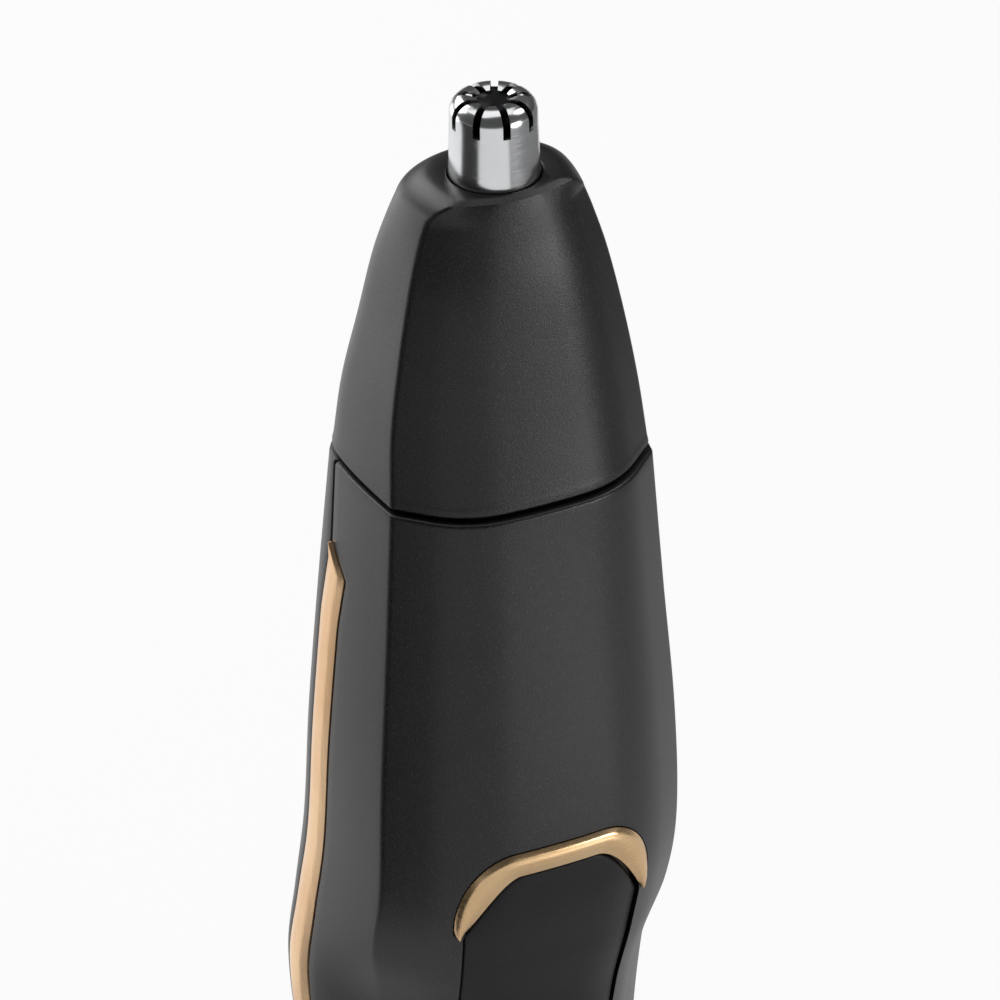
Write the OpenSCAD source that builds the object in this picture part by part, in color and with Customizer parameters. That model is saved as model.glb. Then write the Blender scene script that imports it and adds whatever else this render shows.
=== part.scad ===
// Rotary nose hair trimmer: a tapered head with a slotted steel cutter on a cordless handle.
// +Z is up, the front faces -Y and +X is the device's right. The origin lies on the base, on the
// cutter's axis. Outlines are worked out with the front positive and turned to -Y at the end.

/* [Handle outline] */
// Base: half width, half width at the corner, front depth, rear depth
base_section = [14.8, 11, 8.4, 14.6]; // [5:0.1:24]
// Height of the heel
heel_z = 20; // [17:0.5:23]
// Heel: half width, half width at the corner, front depth, rear depth
heel_section = [17.4, 12.9, 7, 17.2]; // [5:0.1:24]
// Height of the palm swell
palm_z = 38; // [35:0.5:41]
// Palm swell: half width, half width at the corner, front depth, rear depth
palm_section = [19.6, 14.1, 6.8, 19.2]; // [5:0.1:24]
// Height of the waist
waist_z = 52; // [49:0.5:55]
// Waist: half width, half width at the corner, front depth, rear depth
waist_section = [20.6, 15.3, 8.7, 19.4]; // [5:0.1:24]
// Height of the thumb slope
thumb_z = 62; // [60:0.5:65]
// Thumb slope: half width, half width at the corner, front depth, rear depth
thumb_section = [20, 17, 11.2, 18.5]; // [5:0.1:24]
// Height of the ridge over the thumb slope
ridge_z = 72; // [70:0.5:75]
// Ridge: half width, half width at the corner, front depth, rear depth
ridge_section = [19.2, 17, 13.4, 17.7]; // [5:0.1:24]
// Height of the chest
chest_z = 86; // [83:0.5:89]
// Chest: half width, half width at the corner, front depth, rear depth
chest_section = [18.4, 16.5, 13.5, 16.8]; // [5:0.1:24]
// Height of the shoulder
shoulder_z = 102; // [98:0.5:105]
// Shoulder: half width, half width at the corner, front depth, rear depth
shoulder_section = [17, 15.3, 12.6, 15.7]; // [5:0.1:24]
// Parting line: half width, half width at the corner, front depth, rear depth
joint_section = [15.4, 14.2, 11.6, 14.6]; // [5:0.1:24]

/* [Head outline] */
// Gap at the parting line
joint_gap = 0.4; // [0.3:0.1:0.8]
// Foot of the head: half width, half width at the corner, front depth, rear depth
foot_section = [15, 14, 11, 14.8]; // [4:0.1:20]
// Height of the cheek over the parting line
cheek_h = 8; // [6:0.5:10]
// Cheek: half width, half width at the corner, front depth, rear depth
cheek_section = [13.9, 13.3, 9.6, 13.8]; // [4:0.1:20]
// Height of the head's middle over the parting line
middle_h = 16; // [14:0.5:18]
// Middle: half width, half width at the corner, front depth, rear depth
middle_section = [12.3, 12, 8.4, 12]; // [4:0.1:20]
// Height of the throat over the parting line
throat_h = 23; // [21:0.5:24.5]
// Throat: half width, half width at the corner, front depth, rear depth
throat_section = [11, 10.5, 7.4, 10.2]; // [4:0.1:20]
// Height of the collar over the parting line
collar_h = 27.5; // [26:0.5:29]
// Collar: half width, half width at the corner, front depth, rear depth
collar_section = [9.8, 9.2, 6.5, 8.7]; // [4:0.1:20]
// Height at which the head starts to round off to its top face
crease_h = 30; // [29.5:0.1:30.6]
// Start of the rounding: half width, half width at the corner, front depth, rear depth
crease_section = [8.9, 8.3, 6.05, 8]; // [4:0.05:20]
// Height of the rounding
dome_h = 2.4; // [2:0.1:2.8]
// Width of the rounding at the sides and the back
dome_round = 2.1; // [1.6:0.1:2.3]
// Height of the sloped ledge between the front facet and the top face
ledge_h = 0.4; // [0.3:0.05:0.6]
// Width of that ledge
ledge_w = 0.6; // [0.4:0.05:0.8]

/* [Facets] */
// Crown of the front facet
front_crown = 0.6; // [0.3:0.05:0.8]
// Rounding where the front facet meets the chamfers
soft_round = 3.8; // [2.4:0.1:4.2]
// Rounding where the chamfers meet the side facets
crisp_round = 0.5; // [0.2:0.1:1]
// Share of the corner's half width that the flat front facet takes
flat_share = 0.6; // [0.5:0.01:0.68]
// Drop from the front facet to the corner, as a share of the half width
corner_drop = 0.385; // [0.34:0.005:0.42]
// How fast the widest line moves back as the body gets wider
side_lean = 0.46; // [0.4:0.01:0.52]
// Squareness of the back, where 2 is an ellipse
back_power = 2.3; // [2:0.05:2.6]

/* [Walls and edges] */
// Wall of the handle shells
shell_wall = 2.4; // [2.2:0.1:2.6]
// Wall of the head shell
head_wall = 1.8; // [1.6:0.1:2]
// Rounding of the shells' edges at the parting line
edge_round = 0.4; // [0.2:0.1:0.6]
// Depth of the trim's groove and of the shiplap behind it
lip_depth = 1.6; // [1.3:0.1:1.8]
// Overlap of the shiplap between the shells
lap = 1; // [0.7:0.1:1.3]
// Gap between pieces that are snapped or glued together
seat_gap = 0.05; // [0.03:0.01:0.1]

/* [Side trims] */
// Height of the trims' lower tip
trim_low_z = 9; // [7:0.5:12]
// Distance from the parting line to the trims' upper tip
trim_drop = 8.7; // [7:0.1:12]
// Width of a trim
trim_w = 3.9; // [3.4:0.1:5]
// Length of a trim's pointed end
trim_tip = 3.1; // [2.5:0.1:5]
// How far the trims' rear edge lies behind the widest line
trim_back = 0.5; // [0.2:0.1:1]
// How far the trims' tips lean forward
trim_lean = 1; // [0:0.1:1.4]
// Height of the trims' ridge over the shells
trim_proud = 0.4; // [0.2:0.05:0.6]

/* [Bow trim and thumb panel] */
// Height of the bow's upper edge
bow_top_z = 78.75; // [77:0.05:80]
// Height of the bow's tips
bow_tip_z = 67.8; // [67:0.1:69]
// Half width of the bow
bow_half = 11; // [10:0.1:11.2]
// Height of the bow's bar
bow_bar = 3; // [2.4:0.1:3.2]
// Half length of the straight part of the bar
bow_straight = 5; // [4:0.1:5.4]
// Distance of the bow's tips from the middle
bow_tip_x = 10.3; // [9.8:0.1:10.4]
// Height of the bow's ridge over the front facet
bow_proud = 0.6; // [0.3:0.05:0.8]
// Gap between the bow and the thumb panel
panel_gap = 0.45; // [0.3:0.05:0.6]
// Depth of the panel's face under the front facet
panel_sunk = 0.4; // [0.2:0.05:0.5]
// Thickness of the panel and of the bow's root
panel_t = 1; // [0.9:0.05:1.1]
// Half width of the panel at its foot
panel_foot = 7.8; // [7:0.1:8.4]
// Height of the panel's foot
panel_low_z = 20.5; // [19:0.5:22]

/* [Switch] */
// Height of the switch button when it is off
switch_z = 28.5; // [27.5:0.5:29.5]
// Travel of the switch
switch_travel = 4; // [3:0.5:5]
// Width of the switch button
button_w = 9; // [7:0.5:11]
// Length of the switch button
button_l = 9; // [8:0.5:10]
// Height of the button over the panel's face
button_h = 1.5; // [1.2:0.1:2]
// Number of grip ribs on the button
button_ribs = 4; // [3:1:5]

/* [Cutter] */
// Radius of the steel cutter cap
cap_r = 4.25; // [4:0.05:4.4]
// Thickness of the cap's steel
cap_t = 0.4; // [0.3:0.05:0.5]
// Height of the cap over the head's top face
cap_proud = 8.2; // [7:0.1:8.6]
// Radius of the bend between the cap's wall and its top
cap_bend = 1.4; // [1.1:0.1:1.6]
// Number of slots in the cap
slot_count = 9; // [7:1:11]
// Width of a slot
slot_w = 0.75; // [0.5:0.05:0.85]
// How far a slot runs down the cap's wall below the bend
slot_drop = 1; // [0.6:0.1:1.4]
// Turn of the first slot from the right side
slot_turn = -96.5; // [-120:0.5:-60]
// Radius of the opening in the middle of the cap's top
cap_eye_r = 1.3; // [1.1:0.1:1.5]
// Radius of the hole in the head shell
cap_hole_r = 4.6; // [4.5:0.05:4.75]
// Number of blades on the inner cutter
blade_count = 4; // [3:1:5]
// Running gap between the cutters
cutter_gap = 0.08; // [0.05:0.01:0.1]

/* [Head drive] */
// Radius of the cutter's spindle
spindle_r = 1.25; // [1:0.05:1.4]
// Radial running clearance of the spindle in its bushes
running_gap = 0.03; // [0.02:0.01:0.06]
// Wire of the cutter's spring
spring_wire = 0.4; // [0.3:0.05:0.5]
// Turns of the cutter's spring
spring_turns = 5; // [4:1:6]
// Distance of the drive pin from the axis
crank_throw = 2.6; // [2.2:0.1:2.8]
// Radius of the drive pin
crank_pin_r = 0.9; // [0.7:0.05:1]

/* [Neck] */
// Height of the spigot that carries the head
spigot_h = 6; // [5:0.5:7]
// Half depth of the spigot
spigot_r = 6.2; // [6:0.1:6.4]
// Distance of the spigot's round ends from the axis
spigot_x = 2.5; // [2:0.1:3]
// Wall of the spigot
spigot_wall = 1.3; // [1.1:0.1:1.5]
// Clearance between spigot and head base
socket_gap = 0.15; // [0.1:0.05:0.2]
// Thickness of the neck plate
neck_t = 2.6; // [2.2:0.1:3]
// Distance of the neck screws from the axis
neck_screw_x = 10.8; // [10.6:0.1:11]

/* [Power] */
// Half width of the motor
motor_r = 10.2; // [9.8:0.1:10.6]
// Half depth of the motor over its flats
motor_flat = 7.7; // [7.4:0.1:8]
// Length of the motor's can
motor_l = 32; // [30:0.5:33]
// Distance from the parting line to the motor's face
motor_drop = 12; // [11:0.5:12.5]
// Radius of the battery cell
cell_r = 7; // [6.6:0.1:7.1]
// Length of the battery cell
cell_l = 49; // [44:0.5:49.5]
// Height of the battery's foot
cell_z = 19.5; // [19:0.5:20]
// Room between the battery and the motor's end cap
cell_room = 3; // [2.5:0.25:4]
// Distance of the battery's axis behind the cutter's axis
cell_y = 7.5; // [7.4:0.1:7.6]
// Thickness of the circuit board
board_t = 1; // [0.8:0.1:1.2]
// Half width of the circuit board
board_half = 8.2; // [7.5:0.1:8.4]
// Radius of the charging inlet's bore
inlet_r = 1.8; // [1.5:0.05:2]
// Depth of the charging inlet's bore
inlet_l = 12; // [10:0.5:12.5]
// Distance of the charging inlet behind the cutter's axis
inlet_y = 5; // [4.6:0.1:5.4]
// Height of the base cap
base_h = 5; // [4:0.5:6]
// Distance of the base screws from the axis
base_screw_x = 8.6; // [8:0.1:9]
// Radius of the status light
light_r = 1.1; // [0.8:0.1:1.4]
// Height of the status light
light_z = 14; // [12:0.5:15.5]

/* [Hidden] */
$fn = 48;
eps = 0.01;
// Thickness of the motor's end cap
bell_t = 2.5;

// ---- Colours ----
soft_black = "#26272b";
inner_black = "#1b1c1f";
copper_gold = "#c79a5a";
steel = "#c9cccf";
brass = "#c8a24a";
rubber_black = "#161616";
board_green = "#2f6b45";

// ---- Stations: height and section ----
// Half width from which the widest line starts to move back
side_from = 6.5;
// The battery and the motor stand on each other and carry the parting line
motor_foot = cell_z + cell_l + cell_room + bell_t;
motor_top = motor_foot + motor_l;
joint_z = motor_top + motor_drop;
cap_h = crease_h + dome_h + cap_proud;
handle_rows = [[0, base_section], [heel_z, heel_section], [palm_z, palm_section],
    [waist_z, waist_section], [thumb_z, thumb_section], [ridge_z, ridge_section],
    [chest_z, chest_section], [shoulder_z, shoulder_section], [joint_z, joint_section]];
head_rows = [[joint_gap, foot_section], [cheek_h, cheek_section], [middle_h, middle_section],
    [throat_h, throat_section], [collar_h, collar_section], [crease_h, crease_section]];

// ---- Curves ----
function mix(a, b, t) = a + (b - a) * t;
function clamp(t) = min(max(t, 0), 1);
function unit(v) = v / norm(v);
function span(a, b, n) = [for (i = [0 : n - 1]) mix(a, b, i / n)];
function reversed(list) = [for (i = [len(list) - 1 : -1 : 0]) list[i]];
function slope(rows, i) = let (a = max(i - 1, 0), b = min(i + 1, len(rows) - 1))
    (rows[b][1] - rows[a][1]) / (rows[b][0] - rows[a][0]);
function row_of(rows, z, i = 0) = i + 2 >= len(rows) || z <= rows[i + 1][0]
    ? i : row_of(rows, z, i + 1);

// Section at height z on a smooth curve through the rows
function section_at(rows, z) =
    let (i = row_of(rows, z), h = rows[i + 1][0] - rows[i][0], t = clamp((z - rows[i][0]) / h))
    (2 * t^3 - 3 * t^2 + 1) * rows[i][1] + (t^3 - 2 * t^2 + t) * h * slope(rows, i)
        + (3 * t^2 - 2 * t^3) * rows[i + 1][1] + (t^3 - t^2) * h * slope(rows, i + 1);
function handle_at(z) = section_at(handle_rows, z);
function head_at(h) = section_at(head_rows, h);

// ---- Outline of a section [half width, corner, front, rear], front positive ----
function inset(s, t) = [s[0] - t, s[1] - 0.8 * t, s[2] - t, s[3] - t];
function side_y(s) = (s[2] - s[3]) / 2 - side_lean * (s[0] - side_from);
// A section may carry a drop of its own as its fifth number
function corner_y(s) = s[2] - (len(s) > 4 ? s[4] : corner_drop) * s[0];
function facet_edge(s) = [flat_share * s[1], s[2] - front_crown];
function corner_of(s) = [s[1], corner_y(s)];
function side_x(s, y) = let (t = clamp((corner_y(s) - y) / (corner_y(s) - side_y(s))))
    mix(s[1], s[0], sin(90 * t));

// Points of a rounded corner at p between the directions to a and b
function rounded(a, p, b, r, n) = let (u = p + r * unit(a - p), v = p + r * unit(b - p))
    [for (i = [0 : n]) let (t = i / n) (1 - t)^2 * u + 2 * t * (1 - t) * p + t^2 * v];
function soft_radius(s) = soft_round * s[0] / joint_section[0];
function front_fine(s) = concat([[0, s[2]], [facet_edge(s)[0] * 0.3, s[2] - front_crown * 0.09]],
    rounded([0, s[2]], facet_edge(s), corner_of(s), soft_radius(s), 4),
    rounded(facet_edge(s), corner_of(s), [s[0], side_y(s)], crisp_round, 2));
// Inner outlines cut across the soft rounding, which keeps the wall there
function front_coarse(s) = let (p = facet_edge(s), r = 0.6 * soft_radius(s))
    [[0, s[2]], p + r * unit([0, s[2]] - p), p + r * unit(corner_of(s) - p), corner_of(s)];
function side_points(s, y_end, n) =
    [for (i = [1 : n]) let (y = mix(corner_y(s), y_end, i / n)) [side_x(s, y), y]];
function rear_points(s, from, n) = let (p = 2 / back_power, depth = side_y(s) + s[3])
    [for (i = [0 : n]) let (a = mix(from, 90, i / n))
        [s[0] * pow(cos(a), p), side_y(s) - depth * pow(sin(a), p)]];
function whole_fine(s) = concat(front_fine(s), side_points(s, side_y(s), 3), rear_points(s, 12, 7));
function whole_coarse(s) = concat(front_coarse(s), [[s[0], side_y(s)]], rear_points(s, 25, 4));

// Closes a half outline that starts and ends on the middle plane
function both_sides(half) =
    concat(half, [for (i = [len(half) - 2 : -1 : 1]) [-half[i][0], half[i][1]]]);
// Lifts an outline to height z and turns its front to -Y
function lift(outline, z) = [for (p = outline) [p[0], -p[1], z]];
function whole_ring(s, z) = lift(both_sides(whole_fine(s)), z);
function inner_ring(s, z) = lift(both_sides(whole_coarse(s)), z);

// Solid through rings of equal length, each counter-clockwise as seen from where they lead
module loft(rings) {
    n = len(rings[0]);
    top = len(rings) - 1;
    sides = [for (k = [0 : top - 1], i = [0 : n - 1]) let (a = k * n + i, b = k * n + (i + 1) % n)
        each [[a, a + n, b + n], [a, b + n, b]]];
    ends = [[for (i = [0 : n - 1]) i], [for (i = [n - 1 : -1 : 0]) top * n + i]];
    polyhedron([for (ring = rings) each ring], concat(sides, ends));
}
// Slab that fills a shell's inside from one height to another
module handle_fill(z0, z1, gap) {
    loft([for (z = [z0, z1]) inner_ring(inset(handle_at(z), shell_wall + gap), z)]);
}
module head_fill(h0, h1, gap) {
    loft([for (h = [h0, h1]) inner_ring(inset(head_at(h), head_wall + gap), joint_z + h)]);
}
module tube(r_out, r_in, h) {
    difference() {
        cylinder(h, r = r_out);
        translate([0, 0, -1]) cylinder(h + 2, r = r_in);
    }
}
module at_z(z) {
    translate([0, 0, z]) children();
}
module both_x(x) {
    for (side = [-1, 1]) translate([side * x, 0, 0]) children();
}
module slab(x, y, z) {
    translate([x[0], y[0], z[0]]) cube([x[1] - x[0], y[1] - y[0], z[1] - z[0]]);
}

// ---- Seam between the handle shells ----
trim_top_z = joint_z - trim_drop;
function trim_now(z) = trim_w * clamp(min(z - trim_low_z, trim_top_z - z) / trim_tip);
// Length over which the trims' tips lean forward
lean_l = 9;
function lean_at(z) = trim_lean * clamp(1 - min(abs(z - trim_low_z), abs(z - trim_top_z)) / lean_l);
function seam_rear(s, z) = side_y(s) - trim_back + lean_at(z);
function seam_front(s, z) = seam_rear(s, z) + trim_now(z);
shell_heights = concat([base_h, trim_low_z],
    span(trim_low_z + trim_tip, trim_top_z - trim_tip, 21),
    [trim_top_z - trim_tip, trim_top_z, mix(trim_top_z, joint_z, 0.5), joint_z - edge_round, joint_z]);
// The shells' upper edge is chamfered on the outside
function edge_inset(z) = z > joint_z - eps ? edge_round * 0.7 : 0;

function front_half(z) = let (s = inset(handle_at(z), edge_inset(z)),
        in = inset(handle_at(z), shell_wall), y = seam_front(s, z), x = side_x(s, y))
    concat(front_fine(s), side_points(s, y, 3), [[x - lip_depth, y], [x - lip_depth, y + lap]],
        reversed(concat(front_coarse(in), side_points(in, y + lap, 2))));
function rear_half(z) = let (s = inset(handle_at(z), edge_inset(z)),
        in = inset(handle_at(z), shell_wall), y = seam_rear(s, z), x = side_x(s, y),
        tongue_y = seam_front(s, z) + lap - seat_gap,
        tongue_x = side_x(s, tongue_y) - lip_depth - seat_gap)
    concat(reversed(rear_points(in, 25, 4)),
        [[in[0], min(side_y(in), tongue_y - 0.2)], [side_x(in, tongue_y), tongue_y]],
        [[tongue_x, tongue_y]],
        [[x - lip_depth - seat_gap, y - seat_gap], [x, y - seat_gap]], rear_points(s, 14, 7));

// Front facet's depth at x, with the soft rounding of its edges
function front_y(x, z) = let (s = handle_at(z), m = flat_share * s[1],
        r = soft_radius(s), u = max(0, (abs(x) - m + r) / r))
    s[2] - front_crown * (x / m)^2 - 0.18 * r * u^2 * (1 + 0.16 * u);

// ---- Bow and panel outlines on the front facet, [x, z] ----
bow_inner_top = bow_top_z - bow_bar;
bow_knee_z = bow_tip_z + 1.8;
bow_tip = [bow_tip_x, bow_tip_z];
function bow_outer(a) = [bow_straight + (bow_half - bow_straight) * sin(a),
    bow_knee_z + (bow_top_z - bow_knee_z) * cos(a)];
// Inner edge, from the bar at t = 0 to the tip at t = 1
bow_bend = [bow_straight + 1.8, bow_inner_top];
bow_flat = [bow_straight - 0.8, bow_inner_top];
function bow_inner(t) = (1 - t)^2 * bow_flat + 2 * t * (1 - t) * bow_bend + t^2 * bow_tip;
// Share of the inner edge that the bow's arc takes, before the legs run out in their tips
bow_arc_share = 0.9;
// Stations from the middle to the tip: [outer point, inner point]
bow_rows = concat([[[0, bow_top_z], [0, bow_inner_top]]],
    [for (a = [0 : 10 : 90]) [bow_outer(a), bow_inner(bow_arc_share * a / 90)]],
    [[bow_outer(90) + [-0.2, -1.2], bow_inner(0.96)], [bow_tip + [0.35, 0.15], bow_tip]]);
function flip(row) = [[-row[0][0], row[0][1]], [-row[1][0], row[1][1]]];
bow_path = concat([for (i = [len(bow_rows) - 1 : -1 : 1]) flip(bow_rows[i])], bow_rows);
// Point of a bow section: share t from the outer to the inner edge, height over the front facet
function bow_point(row, t, over) = let (p = mix(row[0], row[1], t))
    [p[0], -front_y(p[0], p[1]) - over, p[1]];
// Profile of the bow, [share, height]: root, upper edge, ridge and lower slope
bow_root = -panel_t;
bow_profile = [[1, bow_root], [0, bow_root], [0, 0.1], [0.14, bow_proud * 0.8], [0.34, bow_proud],
    [0.62, bow_proud * 0.75], [1, -0.05]];
// The groove takes the bow's outer edge and its tips, and the panel's pocket runs out under the bar
bow_gap = 0.12;
function grown(row, gap) = let (end = row[0][1] < bow_tip_z + 0.2 ? [0, -gap] : [0, 0])
    [row[0] + gap * unit(row[0] - row[1]) + end, row[1] + end];
function groove_share(row) = row[1][1] < bow_knee_z ? 1.1 : 0.85;
function groove_profile(row) = let (floor = bow_root - seat_gap, t = groove_share(row))
    [[t, floor], [0, floor], [0, 2], [t, 2]];

panel_knee_z = bow_tip_z - 1.2;
panel_half = bow_tip_x - 0.5;
panel_round = 5;
// Half width of the panel at height z, up to its widest line: a round foot and straight sides
function foot_cut(u) = u > 0 ? panel_round * (1 - sqrt(clamp(1 - u^2))) : 0;
function panel_x(z) = mix(panel_foot, panel_half, (z - panel_low_z) / (panel_knee_z - panel_low_z))
    - foot_cut((panel_low_z + panel_round - z) / panel_round);
panel_heights = concat([for (a = [0 : 22.5 : 67.5]) panel_low_z + panel_round * (1 - cos(a))],
    span(panel_low_z + panel_round, panel_knee_z, 9));
// The panel's top follows the bow's inner edge, a gap inside it less what its pocket adds
function bow_normal(t) = let (d = unit(mix(bow_bend - bow_flat, bow_tip - bow_bend, t)))
    [d[1], -d[0]];
function panel_top(t, out) = bow_inner(t) + (panel_gap - out) * bow_normal(t);
// The panel's own solid, or its pocket with a gap below, a gap above and a raised face
module panel_solid(low_gap, top_gap, face, back) {
    rows = concat([for (z = panel_heights) [panel_x(z) + low_gap, z - (z > panel_low_z ? 0 : low_gap)]],
        [for (t = [1, 0.88, 0.76, 0.62, 0.46, 0.28, 0])
            panel_top(t, mix(low_gap, top_gap, min(1, 3 * (1 - t))))]);
    loft([for (row = rows) let (x = row[0], z = row[1])
        concat([for (t = [-1, -0.8, -0.5, 0, 0.5, 0.8, 1]) [t * x, -front_y(t * x, z) + face, z]],
            [for (t = [1, 0, -1]) [t * x, -front_y(t * x, z) + back, z]])]);
}

// ---- Handle shells ----
switch_face = front_y(0, switch_z + switch_travel / 2) - panel_sunk;
stem_w = 4;
stem_l = 4;
slot_gap = 0.3;
button_lift = 0.45;
carriage_half = 5;
carriage_t = 1;
carriage_l = 8;
rib_h = 0.5;
module switch_slot(gap) {
    x = stem_w / 2 + gap;
    slab([-x, x], [-switch_face - 3, -switch_face + shell_wall + 1],
        [switch_z - stem_l / 2 - gap, switch_z + stem_l / 2 + switch_travel + gap]);
}
light_y = front_y(0, light_z);
module light_bore(r) {
    translate([0, -light_y - 1, light_z]) rotate([-90, 0, 0]) cylinder(6, r = r);
}
module front_shell() {
    color(soft_black) difference() {
        loft([for (z = shell_heights) lift(both_sides(front_half(z)), z)]);
        loft([for (row = bow_path)
            [for (q = groove_profile(row)) bow_point(grown(row, bow_gap), q[0], q[1])]]);
        panel_solid(panel_gap / 2, bow_bar / 2, -2, panel_sunk + panel_t + seat_gap);
        switch_slot(slot_gap);
        light_bore(light_r + seat_gap);
    }
}
module rear_shell() {
    color(soft_black) loft([for (z = shell_heights) lift(both_sides(rear_half(z)), z)]);
}

// ---- Side trims ----
trim_end = 0.3;
trim_heights = concat([trim_low_z + trim_end], span(trim_low_z + trim_tip, trim_top_z - trim_tip, 21),
    [trim_top_z - trim_tip, trim_top_z - trim_end]);
// Profile of a trim: share of its width from the rear edge, height over the shell
trim_profile = [[1, 0], [0.72, 0.8 * trim_proud], [0.35, trim_proud], [0, 0]];
function trim_ring(z) = let (s = handle_at(z), y0 = seam_rear(s, z), y1 = seam_front(s, z) - seat_gap,
        floor = lip_depth - seat_gap)
    lift(concat([[side_x(s, y0) - floor, y0], [side_x(s, y1) - floor, y1]],
        [for (q = trim_profile) let (y = mix(y0, y1, q[0])) [side_x(s, y) + q[1], y]]), z);
module right_trim() {
    color(copper_gold) loft([for (z = trim_heights) trim_ring(z)]);
}
module left_trim() {
    mirror([1, 0, 0]) right_trim();
}

// ---- Bow and thumb panel ----
module bow_trim() {
    color(copper_gold) loft([for (row = bow_path) [for (q = bow_profile) bow_point(row, q[0], q[1])]]);
}
module thumb_panel() {
    color(soft_black) difference() {
        panel_solid(0, 0, panel_sunk, panel_sunk + panel_t);
        switch_slot(slot_gap);
    }
}

// ---- Switch ----
module slide_switch() {
    z0 = switch_z - button_l / 2;
    under = -switch_face - button_lift;
    face = under - button_h + rib_h;
    rib = button_l / (2 * button_ribs + 1);
    color(soft_black) {
        slab([-button_w / 2, button_w / 2], [face, under], [z0, z0 + button_l]);
        for (i = [0 : button_ribs - 1])
            slab([-button_w / 2 + 1, button_w / 2 - 1], [face - rib_h, face],
                [z0 + rib * (2 * i + 1), z0 + rib * (2 * i + 2)]);
        slab([-stem_w / 2, stem_w / 2], [under, carriage_y], [switch_z - stem_l / 2, switch_z + stem_l / 2]);
    }
}
// The carriage runs behind the shell's inner face, clear of its crown
carriage_fall = front_crown * carriage_half / facet_edge(handle_at(switch_z))[0];
carriage_y = -switch_face - panel_sunk + shell_wall + button_lift + carriage_fall;
module switch_carriage() {
    color(inner_black) {
        slab([-carriage_half, carriage_half], [carriage_y, carriage_y + carriage_t],
            [switch_z - carriage_l / 2, switch_z + carriage_l / 2]);
        both_x(1.2) slab([-0.4, 0.4], [carriage_y + carriage_t, board_front - slot_gap],
            [switch_z - 1.5, switch_z + 1.5]);
    }
}

// ---- Head: shell, cap and cutter ----
bore_drop = 5.8;
bore_floor = crease_h - bore_drop;
cavity_heights = concat([joint_gap], span(4, bore_floor, 5), [bore_floor]);
head_heights = concat([joint_gap + edge_round, 3.5], span(cheek_h, middle_h, 2),
    span(middle_h, throat_h, 2), span(throat_h, collar_h, 2), span(collar_h, crease_h, 3), [crease_h]);
// Section of the rounding: the front facet runs on up to the ledge, and the chamfers die out
corner_sweep = 1.2;
drop_fade = 0.55;
dome_lean = (collar_section - crease_section) / (crease_h - collar_h);
function dome_section(h) = let (u = h / dome_h, in = dome_round * (1 - sqrt(1 - u^2)),
        ledge = max(0, h - dome_h + ledge_h), s = crease_section - h * dome_lean)
    [s[0] - in, s[1] - corner_sweep * in, s[2] + ledge * dome_lean[2] - ledge_w * ledge / ledge_h,
        s[3] - in, corner_drop * (1 - drop_fade * u)];
dome_heights = concat([for (a = [15 : 15 : 45]) dome_h * sin(a)],
    [dome_h - ledge_h, dome_h - 0.4 * ledge_h, dome_h]);
module head_shell() {
    color(soft_black) difference() {
        at_z(joint_z) loft(concat([whole_ring(inset(foot_section, edge_round * 0.7), joint_gap)],
            [for (h = head_heights) whole_ring(head_at(h), h)],
            [for (h = dome_heights) whole_ring(dome_section(h), crease_h + h)]));
        at_z(joint_z) loft(concat([inner_ring(inset(foot_section, head_wall), 0)],
            [for (h = cavity_heights) inner_ring(inset(head_at(h), head_wall), h)]));
        at_z(joint_z + bore_floor - 1) cylinder(cap_h, r = cap_hole_r);
    }
}

cap_flange_r = 5.2;
cap_flange_t = 0.8;
cap_foot = bore_floor - cap_flange_t;
cap_crown = 0.25;
// Profile of the cap from its axis, at radius r and top height h
function cap_arc(r, h, bend) = concat([[0, h]], [for (a = [0 : 15 : 90])
    [r - bend + bend * sin(a), h - cap_crown - bend + bend * cos(a)]]);
module cap_revolve(r, h, bend, foot) {
    rotate_extrude() polygon(concat(cap_arc(r, h, bend), [[r, foot], [0, foot]]));
}
module cutter_cap() {
    slot_foot = cap_h - cap_crown - cap_bend - slot_drop;
    color(steel) at_z(joint_z) difference() {
        union() {
            cap_revolve(cap_r, cap_h, cap_bend, cap_foot);
            at_z(cap_foot) cylinder(cap_flange_t, r = cap_flange_r);
        }
        cap_revolve(cap_r - cap_t, cap_h - cap_t, cap_bend - cap_t, cap_foot - 1);
        cylinder(cap_h + 1, r = cap_eye_r);
        for (i = [0 : slot_count - 1]) rotate(slot_turn + i * 360 / slot_count)
            slab([0, cap_r + 1], [-slot_w / 2, slot_w / 2], [slot_foot, cap_h + 1]);
    }
}
retainer_t = 2;
// Play round the spindle, and half the width of the tool slots
retainer_gap = 0.8;
module cap_retainer() {
    color(inner_black) at_z(joint_z + cap_foot - retainer_t) difference() {
        tube(cap_flange_r, spindle_r + retainer_gap, retainer_t);
        for (a = [45, 135]) rotate(a)
            slab([-cap_flange_r - 1, cap_flange_r + 1], [-retainer_gap, retainer_gap], [-1, retainer_gap]);
    }
}
bush_r = cap_r - cap_t;
module upper_bush() {
    color(brass) at_z(joint_z + cap_foot) tube(bush_r, spindle_r + running_gap, 4.4);
}
cutter_r = cap_r - cap_t - cutter_gap;
cutter_top = cap_h - cap_t - cutter_gap;
cutter_l = 7.5;
cutter_wall = 0.7;
blade_l = 4.6;
blade_share = 0.38;
hub_wall = 0.6;
hub_skin = 1;
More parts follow.
